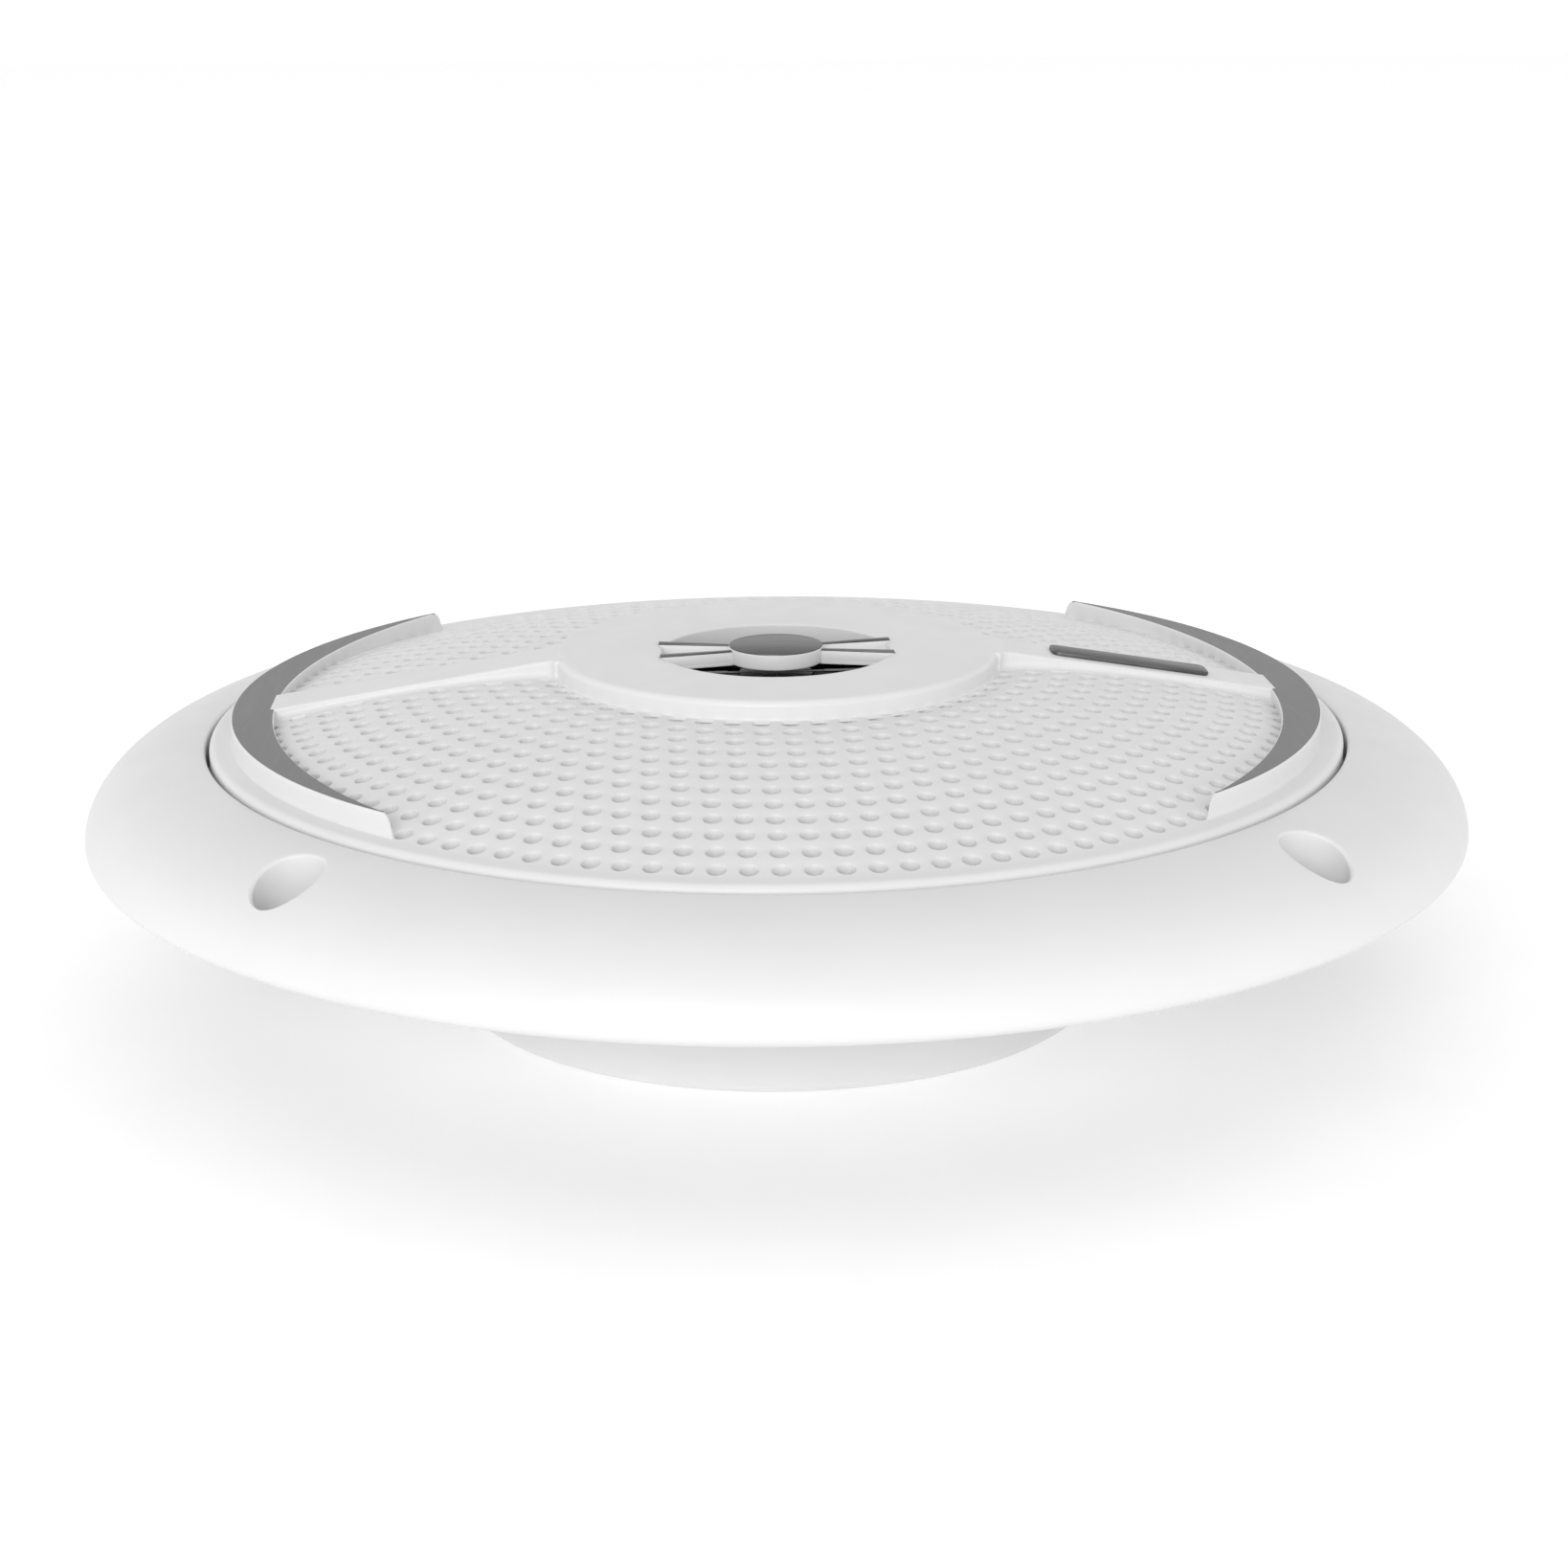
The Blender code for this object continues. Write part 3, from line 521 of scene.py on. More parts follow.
def makePerforatedDome():
    sizes, holes = grilleSizes, perforation
    depth = sizes["wall"]
    wallOutline = [(holes["boreRadius"], -depth), (holes["boreRadius"], -holes["mouthDepth"])]
    spread = holes["mouthRadius"] - holes["boreRadius"]
    wallOutline += [(holes["boreRadius"] + spread * 0.3, -holes["mouthDepth"] * 0.28),
                    (holes["mouthRadius"], 0.0)]
    holeWall = newObject("holeWall", turnedMesh("holeWall", wallOutline, holes["segments"], closed=False))
    outer, inner, lip = sizes["sheetOuter"], sizes["sheetInner"], sizes["lipRadius"]
    edge = domeHeight(outer)
    rimOutline = roundedPath([
        (outer, edge), (outer + 0.6, edge - 0.05), (lip, edge - 0.05, sizes["lipRound"]),
        (lip, sizes["skirtBottom"], 0.3), (lip - sizes["skirtWall"], sizes["skirtBottom"], 0.3),
        (lip - sizes["skirtWall"], edge - depth - 0.4), (outer, edge - depth)], 6, closed=False)
    rims = newObject("rims", turnedMesh("rims", rimOutline, holes["sheetSteps"], closed=False))
    innerRim = turnedMesh("innerRim", [(inner, domeHeight(inner) - depth), (inner, domeHeight(inner))],
                          holes["sheetSteps"], closed=False)
    body = bmesh.new()
    body.from_mesh(rims.data)
    body.from_mesh(innerRim)
    body.to_mesh(rims.data)
    body.free()
    points = bpy.data.meshes.new("perforationPoints")
    points.from_pydata(perforationPoints(), [], [])
    dome = newObject("grilleDome", points)
    runTree(dome, perforatedTree(whitePlastic), {
        "Hole Wall": holeWall, "Rims": rims, "Mouth Radius": holes["mouthRadius"] * mm,
        "Bore Radius": holes["boreRadius"] * mm, "Thickness": depth * mm, "Inner Radius": inner * mm,
        "Outer Radius": outer * mm, "Dome Start": sizes["hubRadius"] * mm,
        "Dome Span": (lip - sizes["hubRadius"]) * mm, "Dome Rise": sizes["domeRise"] * mm,
        "Dome Power": sizes["domePower"], "Lip Height": sizes["lipHeight"] * mm,
        "Hole Segments": holes["segments"], "Rim Segments": holes["sheetSteps"]})
    for helper in (holeWall, rims):
        bpy.data.objects.remove(helper)
    body = bmesh.new()
    body.from_mesh(dome.data)
    openEdges = sum(1 for edge in body.edges if not edge.is_manifold)
    bmesh.ops.recalc_face_normals(body, faces=body.faces)
    body.to_mesh(dome.data)
    body.free()
    print("perforated dome:", len(dome.data.polygons), "faces,", openEdges, "open edges")
    finished(dome, "grille_group", whitePlastic, white, ["grille"], 30.0)


def makeHub():
    sizes = grilleSizes
    hub, top, opening = sizes["hubRadius"], sizes["hubTop"], sizes["openingRadius"]
    foot = domeHeight(hub) - 0.4
    dish = sizes["openingDish"]
    slope = []
    for step in range(10):
        radius = opening + (dish - opening) * step / 9
        slope.append((radius, top - sizes["dishDepth"] * ((dish - radius) / (dish - opening)) ** 1.7))
    slope[0] = (*slope[0], sizes["openingRound"])
    outline = roundedPath(slope + [
        (hub, top, sizes["hubRound"]), (hub, foot + 0.8, 0.0), (hub + 0.12, foot + 0.42),
        (hub + 0.5, foot + 0.1), (sizes["sheetInner"] - 1.0, foot - 0.8), (19.2, 43.1, 0.5), (opening, 43.3, 0.3)], 6)
    turnedPiece("grilleHub", outline, "grille_group", whitePlastic, white, "grille", 240)


def ribSection(radius):
    # half a cross-section as (across, height): flat top, rounded edge, wall, and a fillet down to the dome
    sizes = ribSizes
    near, far = grilleSizes["hubRadius"] - 0.9, sizes["far"]
    top = sizes["nearHeight"] + (sizes["farHeight"] - sizes["nearHeight"]) * (radius - near) / (far - near)
    half, foot = sizes["width"] / 2, domeHeight(radius)
    height = top - foot
    edge, fillet = min(sizes["round"], 0.3 * height), min(sizes["fillet"], 0.6 * height)
    turn = sizes["hubFillet"]
    away = min(max(radius - grilleSizes["hubRadius"], 0.0), turn)
    half += turn - math.sqrt(turn ** 2 - (turn - away) ** 2)
    points = [(0.0, top)]
    for step in range(5):
        angle = math.pi / 2 * (1 - step / 4)
        points.append((half - edge + edge * math.cos(angle), top - edge + edge * math.sin(angle)))
    for step in range(7):
        angle = math.pi * (1 + 0.5 * step / 6)
        points.append((half + fillet + fillet * math.cos(angle), foot + fillet + fillet * math.sin(angle)))
    return points + [(half + fillet + 0.1, foot - 0.15), (half + fillet + 0.1, foot - 1.2), (0.0, foot - 1.2)]


def makeRibs():
    sizes, steps = ribSizes, 30
    near = grilleSizes["hubRadius"] - 0.9
    stations = [near, near + 0.5]
    stations += [grilleSizes["hubRadius"] + sizes["hubFillet"] * (1 - math.cos(math.pi / 2 * step / 6))
                 for step in range(7)]
    stations += [stations[-1] + (sizes["far"] - stations[-1]) * step / steps for step in range(1, steps + 1)]
    for side, word in ((1, "Right"), (-1, "Left")):
        verts, faces = [], []
        for radius in stations:
            half = ribSection(radius)
            ring = half + [(-across, height) for across, height in half[-2:0:-1]]
            verts += [(side * radius * mm, across * mm, height * mm) for across, height in ring]
        count = len(ring)
        for station in range(len(stations) - 1):
            for place in range(count):
                a, b = station * count + place, station * count + (place + 1) % count
                faces.append([a, b, b + count, a + count])
        faces.append(list(range(count)))
        faces.append(list(range((len(stations) - 1) * count, len(stations) * count)))
        rib = newObject("grilleRib" + word, newMesh("rib", verts, faces))
        outward(rib)
        finished(rib, "grille_group", whitePlastic, white, ["grille"])


def crescentEdges(side, inset, endShift, count=96):
    # the outer and inner edges of a crescent, which meets in a thin tip at each end
    sizes = crescentSizes
    outer, inner, offset = sizes["outerRadius"] - inset, sizes["innerRadius"] + inset, sizes["innerOffset"]
    reach = math.radians(sizes["endAngle"]) + endShift / outer
    edges = [[], []]
    for step in range(count + 1):
        angle = reach * math.sin(math.pi / 2 * (2 * step / count - 1))
        nearer = math.sqrt(inner ** 2 - (offset * math.sin(angle)) ** 2) - offset * math.cos(angle)
        for edge, radius in zip(edges, (outer, min(nearer, outer - sizes["tipWidth"]))):
            edge.append((side * radius * math.cos(angle), side * radius * math.sin(angle)))
    return edges


def crescentMesh(name, side, levels, count=96):
    # levels run from the bottom up as (height, inset, how far the ends reach)
    verts, faces, rings = [], [], []
    for height, inset, endShift in levels:
        edges = crescentEdges(side, inset, endShift, count)
        first = len(verts)
        verts += [(x * mm, y * mm, height * mm) for edge in edges for x, y in edge]
        outerRow = list(range(first, first + count + 1))
        rings.append(outerRow + list(range(first + count + 1, first + 2 * count + 2))[::-1])
    for lower, upper in zip(rings, rings[1:]):
        for place in range(len(lower)):
            faces.append([lower[place - 1], lower[place], upper[place], upper[place - 1]])
    for ring in (rings[0], rings[-1]):
        for place in range(count):
            faces.append([ring[place], ring[place + 1], ring[-place - 2], ring[-place - 1]])
    obj = newObject(name, newMesh(name, verts, faces))
    outward(obj)
    return obj


def makeCrescents():
    sizes = crescentSizes
    top, bottom, foot = sizes["top"], sizes["bottom"], sizes["foot"]
    wall = [(bottom, -foot, 1.0), (bottom + 0.7, -foot * 0.7, 0.9), (bottom + 1.1, -foot * 0.2, 0.8),
            (bottom + 1.5, 0.0, 0.65), (top - 1.1, 0.0, 0.35), (top - 0.5, 0.0, 0.0), (top - 0.2, 0.0, -0.35),
            (top - 0.08, 0.04, -0.55), (top - 0.03, 0.10, -0.65)]
    plate = [(top - sizes["trim"], 0.14, -0.75), (top - 0.02, 0.14, -0.75), (top + 0.02, 0.18, -0.8)]
    for side, word, node in ((1, "Right", "crescent_trim_right"), (-1, "Left", "crescent_trim_left")):
        base = crescentMesh("crescentBase" + word, side, wall)
        finished(base, "grille_group", whitePlastic, white, ["grille"], 50.0)
        trim = crescentMesh("crescentTrim" + word, side, plate)
        finished(trim, "grille_group", crescentSilver, silver, [node])


middleSizes = {
    "discRadius": 6.3, "discTop": nodeTop("centre_trim"), "discBottom": 44.55, "armBottom": 44.4,
    "webTop": 44.9, "edgeTop": 46.2, "lineTop": 46.4, "near": 5.0, "far": 15.45, "nearHalf": 1.9,
    "farHalf": 4.55, "lineNear": 0.8, "lineFar": 1.55,
}


def makeMiddle():
    sizes = middleSizes
    radius, top, bottom = sizes["discRadius"], sizes["discTop"], sizes["discBottom"]
    outline = roundedPath([(0.0, top - 0.12), (radius, top - 0.12, 0.18), (radius, bottom, 0.2), (0.0, bottom)],
                          4, False)
    turnedPiece("middleDisc", outline, "grille_group", whitePlastic, white, "grille", 96, False)
    radius -= 0.07
    cap = roundedPath([(0.0, top), (radius, top, 0.08), (radius, top - 0.3), (0.0, top - 0.3)], 2, False)
    turnedPiece("middleDiscTrim", cap, "grille_group", middleSilver, silver, "centre_trim", 96, False)
    for side, word in ((1, "Right"), (-1, "Left")):
        near, far = sizes["near"], sizes["far"]
        arm = [(near, -sizes["nearHalf"]), (far, -sizes["farHalf"]), (far + 0.35, 0.0), (far, sizes["farHalf"]),
               (near, sizes["nearHalf"])]
        web = newObject("middleArm" + word, raisedMesh("arm", [(side * x, side * y) for x, y in arm],
                                                       sizes["armBottom"], sizes["webTop"]))
        bevelled(web, 0.12, 2)
        finished(web, "grille_group", whitePlastic, white, ["grille"])
        for hand, handWord in ((1, "Upper"), (-1, "Lower")):
            nearHalf, farHalf = sizes["nearHalf"], sizes["farHalf"]
            edge = [(near, hand * (nearHalf - sizes["lineNear"])), (near, hand * nearHalf),
                    (far + 0.1, hand * farHalf), (far + 0.1, hand * (farHalf - sizes["lineFar"]))]
            edgeTop = sizes["edgeTop"]
            for piece, low, high, inset, material, slotName, nodes in (
                    ("Rail", sizes["armBottom"], edgeTop, 0.0, whitePlastic, white, ["grille"]),
                    ("Line", edgeTop - 0.2, sizes["lineTop"], 0.08, middleSilver, silver, ["centre_trim"])):
                shape = [(side * x, side * (y - hand * inset * (1 if i in (1, 2) else -1)))
                         for i, (x, y) in enumerate(edge)]
                rail = newObject("arm" + piece + word + handWord, raisedMesh("rail", shape, low, high))
                outward(rail)
                bevelled(rail, 0.10, 2)
                finished(rail, "grille_group", material, slotName, nodes)


badgeSizes = {"length": 21.5, "width": 4.6, "thickness": 0.5, "corner": 1.1, "middle": 47.6}


def makeBadge():
    sizes = badgeSizes
    halfLength, halfWidth, corner = sizes["length"] / 2, sizes["width"] / 2, sizes["corner"]
    outline = roundedPath([(-halfLength, halfWidth, corner), (halfLength, halfWidth, corner),
                           (halfLength, -halfWidth, corner), (-halfLength, -halfWidth, corner)], 5)[::-1]
    badge = newObject("blankBadge", raisedMesh("blankBadge", outline, -0.2, sizes["thickness"]))
    bevelled(badge, 0.12, 2)
    near, far = grilleSizes["hubRadius"] - 0.9, ribSizes["far"]
    slope = (ribSizes["farHeight"] - ribSizes["nearHeight"]) / (far - near)
    height = ribSizes["nearHeight"] + slope * (sizes["middle"] - near)
    tilt = Matrix.Rotation(-math.atan(slope), 4, "Y")
    badge.data.transform(Matrix.Translation((sizes["middle"] * mm, 0.0, height * mm)) @ tilt)
    finished(badge, "grille_group", middleSilver, silver, ["badge_plate"])


makePerforatedDome()
makeHub()
makeRibs()
makeCrescents()
makeMiddle()
makeBadge()
print("grille ready")

# the bezel and what is behind it

bezelSizes = {
    "inner": grilleSizes["lipRadius"] + 0.5, "outer": nodeRadius("bezel"), "top": nodeTop("bezel"),
    "widest": 25.7, "back": nodeBottom("bezel"), "backRound": 3.0, "power": 1.1, "edgeRound": 0.45,
    "screwCircle": 83.6, "recessRadius": 4.15, "recessFloor": 28.4, "recessRound": 0.5, "holeRadius": 2.3,
}


def bezelHeight(radius):
    sizes = bezelSizes
    share = min(max((radius - sizes["inner"]) / (sizes["outer"] - sizes["inner"]), 0.0), 1.0)
    return sizes["widest"] + (sizes["top"] - sizes["widest"]) * math.sin(math.acos(share)) ** sizes["power"]


def bezelOutline(steps=26, backSteps=8):
    sizes = bezelSizes
    edge = sizes["edgeRound"]
    points = []
    for step in range(5):
        angle = math.radians(180.0 - 90.0 * step / 4)
        points.append((sizes["inner"] + edge + edge * math.cos(angle),
                       sizes["top"] - edge + edge * math.sin(angle)))
    for step in range(1, steps + 1):
        angle = math.radians(90.0 * (1 - step / steps))
        radius = sizes["inner"] + (sizes["outer"] - sizes["inner"]) * math.cos(angle)
        if radius > sizes["inner"] + edge + 0.2:
            points.append((radius, bezelHeight(radius)))
    for step in range(1, backSteps + 1):
        angle = math.radians(90.0 * step / backSteps)
        points.append((sizes["outer"] - sizes["backRound"] * (1 - math.cos(angle)),
                       sizes["widest"] - (sizes["widest"] - sizes["back"]) * math.sin(angle)))
    return points + [(81.0, sizes["back"]), (81.0, 30.2), (72.0, 30.2), (72.0, 32.4), (sizes["inner"], 32.4)]


def recessMesh(steps=64, roundSteps=6):
    # a stepped screw recess whose mouth follows the bezel's slope with a rounded lip
    sizes = bezelSizes
    flare, radius = sizes["recessRound"], sizes["recessRadius"]
    rows = [[(0.0, 20.0)] * steps, [(sizes["holeRadius"], 20.0)] * steps,
            [(sizes["holeRadius"], sizes["recessFloor"])] * steps, [(radius, sizes["recessFloor"])] * steps]
    mouths = []
    for step in range(steps):
        angle = 2 * math.pi * step / steps
        away = radius + flare
        x, y = sizes["screwCircle"] + away * math.cos(angle), away * math.sin(angle)
        mouths.append(bezelHeight(math.hypot(x, y)))
    for part in range(roundSteps + 1):
        angle = math.radians(88.0 * part / roundSteps)
        rows.append([(radius + flare * (1 - math.cos(angle)), mouth - flare * (1 - math.sin(angle)))
                     for mouth in mouths])
    rows.append([(radius + flare + 0.15, mouth + 0.6) for mouth in mouths])
    rows.append([(radius + flare + 0.15, 44.0)] * steps)
    rows.append([(0.0, 44.0)] * steps)
    verts, faces = [], []
    for row in rows:
        for step, (away, height) in enumerate(row):
            angle = 2 * math.pi * step / steps
            verts.append((away * math.cos(angle) * mm, away * math.sin(angle) * mm, height * mm))
    for row in range(len(rows) - 1):
        for step in range(steps):
            after = (step + 1) % steps
            low, high = row * steps, (row + 1) * steps
            faces.append([low + step, low + after, high + after, high + step])
    mesh = newMesh("recess", verts, faces)
    body = bmesh.new()
    body.from_mesh(mesh)
    bmesh.ops.remove_doubles(body, verts=body.verts, dist=0.0000001)
    bmesh.ops.recalc_face_normals(body, faces=body.faces)
    body.to_mesh(mesh)
    body.free()
    return mesh


def plainDisc(name, radius, low, high, steps=48):
    outline = [(0.0, high), (radius, high), (radius, low), (0.0, low)]
    return turnedMesh(name, outline, steps, closed=False)


def makeBezel():
    sizes = bezelSizes
    corners = turns(4, 45.0, sizes["screwCircle"])
    bezel = newObject("bezelRing", turnedMesh("bezelRing", bezelOutline(), 288))
    combined(bezel, joinedCopies("bosses", plainDisc("boss", 5.9, 26.5, 29.8), corners), "UNION")
    groove = newObject("groove", turnedMesh("groove", [(87.2, 28.4), (87.6, 26.2), (87.6, 23.0), (83.0, 23.0),
                                                       (83.0, 31.4), (85.4, 30.8)], 288))
    combined(groove, joinedCopies("stops", plainDisc("stop", 6.6, 20.0, 33.0), corners), "DIFFERENCE")
    combined(bezel, groove, "DIFFERENCE")
    combined(bezel, joinedCopies("recesses", recessMesh(), corners), "DIFFERENCE")
    finished(bezel, "frame", whitePlastic, white, ["bezel"], 32.0)


def makeRearCover():
    radius, top = nodeRadius("rear_cover"), nodeTop("rear_cover")
    outline = roundedPath([(0.0, 1.8), (radius - 2.0, 1.8, 0.8), (radius - 2.0, top, 0.4), (radius, top, 0.4),
                           (radius, 0.0, 1.6), (radius - 7.0, 0.0, 0.3), (radius - 7.6, 0.5, 0.3), (0.0, 0.5)],
                          6, False)
    turnedPiece("rearCover", outline, "frame", backPlastic, white, "rear_cover", closed=False)


def makeBasket():
    outline = roundedPath([(65.0, 30.7, 0.4), (65.0, 26.2, 0.6), (80.4, 26.2, 0.4), (80.4, 23.8, 0.3),
                           (62.0, 23.8, 0.8), (60.5, 22.0, 0.8), (40.0, 15.8, 1.0), (26.0, 15.8),
                           (26.0, 17.6), (39.3, 17.6, 1.5),
                           (59.5, 24.0, 1.5), (59.5, 30.7, 0.4)], 3)
    turnedPiece("basketBowl", outline, "frame", backPlastic, white, "basket")


def makeGasket():
    outer, inner = nodeRadius("panel_gasket"), 66.0
    low, high = nodeBottom("panel_gasket"), nodeTop("panel_gasket")
    outline = roundedPath([(inner, high, 0.2), (outer, high, 0.2), (outer, low, 0.2), (inner, low, 0.2)])
    turnedPiece("foamGasket", outline, "frame", foam, "foam", "panel_gasket")


def radialBlend(piece):
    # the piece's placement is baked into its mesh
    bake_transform(piece)


def flexing(name, outline, material, slotName, node, steps=144):
    piece = newObject(name, turnedMesh(name, outline, steps))
    dressed(piece, material, slotName, [node])
    radialBlend(piece)


def thick(top, thickness):
    return top + [(radius, height - thickness) for radius, height in top[::-1]]


coneSizes = {
    "neck": 16.35, "neckHeight": 22.0, "rim": 50.0, "rimHeight": nodeTop("cone"), "bow": 1.2, "thickness": 0.8,
}
surroundSizes = {
    "inner": 48.0, "rollInner": 51.0, "rollOuter": 59.2, "outer": 64.6, "base": 31.7, "rollHeight": 3.6,
    "thickness": 0.7,
}
spiderSizes = {
    "inner": 16.4, "innerHeight": 19.9, "rollOuter": 31.0, "outerHeight": 19.2, "outer": 35.0,
    "flangeHeight": 18.4,
    "wave": 0.4, "crests": 3, "thickness": 0.5,
}


def makeCone():
    sizes, steps = coneSizes, 24
    run, rise = sizes["rim"] - sizes["neck"], sizes["rimHeight"] - sizes["neckHeight"]
    top = []
    for step in range(steps + 1):
        share = step / steps
        top.append((sizes["neck"] + run * share,
                    sizes["neckHeight"] + rise * share - sizes["bow"] * math.sin(math.pi * share)))
    turnedPiece("coneShell", thick(top, sizes["thickness"]), "cone_group", conePlastic, "cone", "cone")


def makeSurround():
    sizes, steps = surroundSizes, 20
    middle, half = (sizes["rollInner"] + sizes["rollOuter"]) / 2, (sizes["rollOuter"] - sizes["rollInner"]) / 2
    top = [(sizes["inner"], sizes["base"]), (sizes["inner"] + 1.5, sizes["base"])]
    for step in range(steps + 1):
        angle = math.pi * (1 - step / steps)
        top.append((middle + half * math.cos(angle), sizes["base"] + sizes["rollHeight"] * math.sin(angle)))
    top += [(sizes["rollOuter"] + 2.5, sizes["base"]), (sizes["outer"], sizes["base"])]
    flexing("rubberSurround", thick(top, sizes["thickness"]), rubber, "rubber", "surround", 192)
    low, high = nodeBottom("surround_clamp"), nodeTop("surround_clamp")
    outline = roundedPath([(60.6, high, 0.5), (64.8, high, 0.5), (64.8, low, 0.2), (60.6, low, 0.2)])
    turnedPiece("surroundClamp", outline, "frame", blackPlastic, black, "surround_clamp")


def makeSpider():
    sizes, steps = spiderSizes, 72
    start, end = sizes["inner"] + 1.0, sizes["rollOuter"]
    top = [(sizes["inner"], sizes["innerHeight"])]
    for step in range(steps + 1):
        share = step / steps
        swing = sizes["wave"] * math.sin(math.tau * sizes["crests"] * share)
        level = sizes["innerHeight"] + (sizes["outerHeight"] - sizes["innerHeight"]) * share
        top.append((start + (end - start) * share, level + swing))
    top += [(end + 1.0, sizes["flangeHeight"]), (sizes["outer"], sizes["flangeHeight"])]
    flexing("spiderDisc", thick(top, sizes["thickness"]), spiderCloth, "cloth", "spider")


leadSizes = {"postY": 37.2, "postX": 6.5, "postRadius": 1.1, "run": 13.5, "start": 20.9, "rise": 0.5,
             "sag": 0.5, "radius": 0.35, "strandRadius": 0.12, "twists": 9, "strands": 3}


def makeLeads():
    # braided tinsel wire: three strands wound about a sagging line
    sizes, steps, sides = leadSizes, 90, 6
    start = sizes["postY"] - sizes["postRadius"] - 0.35
    for side, word in ((-1, "left"), (1, "right")):
        verts, faces = [], []
        for strand in range(sizes["strands"]):
            for step in range(steps + 1):
                share = step / steps
                turn = math.tau * (sizes["twists"] * share + strand / sizes["strands"])
                away = sizes["radius"] - sizes["strandRadius"]
                level = sizes["start"] + sizes["rise"] * share - sizes["sag"] * math.sin(math.pi * share)
                centre = Vector((side * sizes["postX"] + away * math.cos(turn), start - sizes["run"] * share,
                                 level + away * math.sin(turn)))
                for corner in range(sides):
                    angle = math.tau * corner / sides
                    offset = Vector((math.cos(angle), 0.0, math.sin(angle))) * sizes["strandRadius"] * 1.3
                    verts.append((centre + offset) * mm)
            first = len(verts) - (steps + 1) * sides
            for step in range(steps):
                for corner in range(sides):
                    a, b = first + step * sides + corner, first + step * sides + (corner + 1) % sides
                    faces.append([a, b, b + sides, a + sides])
            faces.append(list(range(first, first + sides))[::-1])
            faces.append(list(range(first + steps * sides, first + (steps + 1) * sides)))
        lead = newObject("tinselLead" + word.title(), newMesh("tinselLead", verts, faces))
        outward(lead)
        dressed(lead, copperWire, "copper", ["tinsel_lead_" + word])
        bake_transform(lead)


# one shape set round a circle, for screws, ribs and rays

def aroundTree(material):
    group = geometryTree("aroundCircle", {
        "Object": ("Shape",), "Int": ("Count",), "Float": ("Circle Radius", "First Angle")})
    given, made = group.given, group.made
    inputs = {"Vertices": given["Count"], "Radius": given["Circle Radius"]}
    circle = made("GeometryNodeMeshCircle", inputs, "Mesh")
    shape = made("GeometryNodeObjectInfo", {"Object": given["Shape"]}, "Geometry")
    index = made("GeometryNodeInputIndex", {}, "Index")
    share = made("ShaderNodeMath", {0: index, 1: given["Count"]}, "Value", "DIVIDE")
    turn = made("ShaderNodeMath", {0: share, 1: math.tau}, "Value", "MULTIPLY")
    spin = made("ShaderNodeCombineXYZ", {"Z": turn}, "Vector")
    start = made("ShaderNodeCombineXYZ", {"Z": given["First Angle"]}, "Vector")
    around = {"Geometry": group.onPoints(circle, shape, Rotation=spin), "Rotation": start}
    return group.ended(made("GeometryNodeTransform", around, "Geometry"), material)


def setAround(name, shape, count, radius, firstAngle, material):
    piece = newObject(name, bpy.data.meshes.new(name))
    runTree(piece, aroundTree(material), {"Shape": shape, "Count": count, "Circle Radius": radius * mm,
                                          "First Angle": math.radians(firstAngle)})
    bpy.data.objects.remove(shape)
    return piece


screwSizes = {"head": 2.9, "shank": 1.45, "tip": 30.2, "headTop": 24.8, "bottom": 24.1,
              "crossReach": 1.5, "crossHalf": 0.25, "circle": 72.5, "thread": 0.18, "pitch": 0.8}


def makeBasketScrews():
    # pan heads that face the panel, with a cross recess
    sizes = screwSizes
    outline = [(0.0, sizes["tip"]), (0.35, sizes["tip"])]
    threads = int((sizes["tip"] - 0.8 - sizes["headTop"]) / sizes["pitch"])
    for index in range(threads):
        level = sizes["tip"] - 0.6 - sizes["pitch"] * index
        outline += [(sizes["shank"], level), (sizes["shank"] - sizes["thread"], level - sizes["pitch"] / 2)]
    outline += roundedPath([(sizes["shank"], sizes["headTop"]), (sizes["head"], sizes["headTop"], 0.1),
                            (sizes["head"], sizes["bottom"], 0.45), (0.0, sizes["bottom"])], 4, False)
    screw = newObject("screw", turnedMesh("screw", outline, 24, closed=False))
    reach, half = sizes["crossReach"], sizes["crossHalf"]
    bar = [(-reach, -half), (-half, -half), (-half, -reach), (half, -reach), (half, -half), (reach, -half),
           (reach, half), (half, half), (half, reach), (-half, reach), (-half, half), (-reach, half)]
    cross = newObject("cross", raisedMesh("cross", bar, sizes["bottom"] - 1.0, sizes["bottom"] + 0.4))
    combined(screw, cross, "DIFFERENCE")
    screws = setAround("basketScrews", screw, 4, sizes["circle"], 0.0, zincPlate)
    finished(screws, "frame", zincPlate, "zinc", [f"basket_screw_{index}" for index in range(1, 5)])


basketRibs = {"count": 24, "thickness": 1.4, "firstAngle": 7.5}


def makeBasketRibs():
    # stiffening ribs under the bowl's sloping wall
    sizes = basketRibs
    half = sizes["thickness"] / 2
    section = [(44.8, 15.9), (45.2, 18.6), (60.6, 23.2), (61.4, 23.2), (60.9, 21.4)]
    verts = [(r * mm, y * mm, z * mm) for y in (-half, half) for r, z in section]
    count = len(section)
    faces = [list(range(count)), list(range(count, 2 * count))[::-1]]
    for index in range(count):
        after = (index + 1) % count
        faces.append([index, count + index, count + after, after])
    rib = newObject("rib", newMesh("rib", verts, faces))
    outward(rib)
    bevelled(rib, 0.25, 2)
    ribs = setAround("basketRibs", rib, sizes["count"], onAxis, sizes["firstAngle"], backPlastic)
    finished(ribs, "frame", backPlastic, white, ["basket"])


# the terminals

terminalSizes = {"halfWidth": 10.0, "near": 41.7, "face": 49.3, "bottom": 5.2, "top": 14.2}


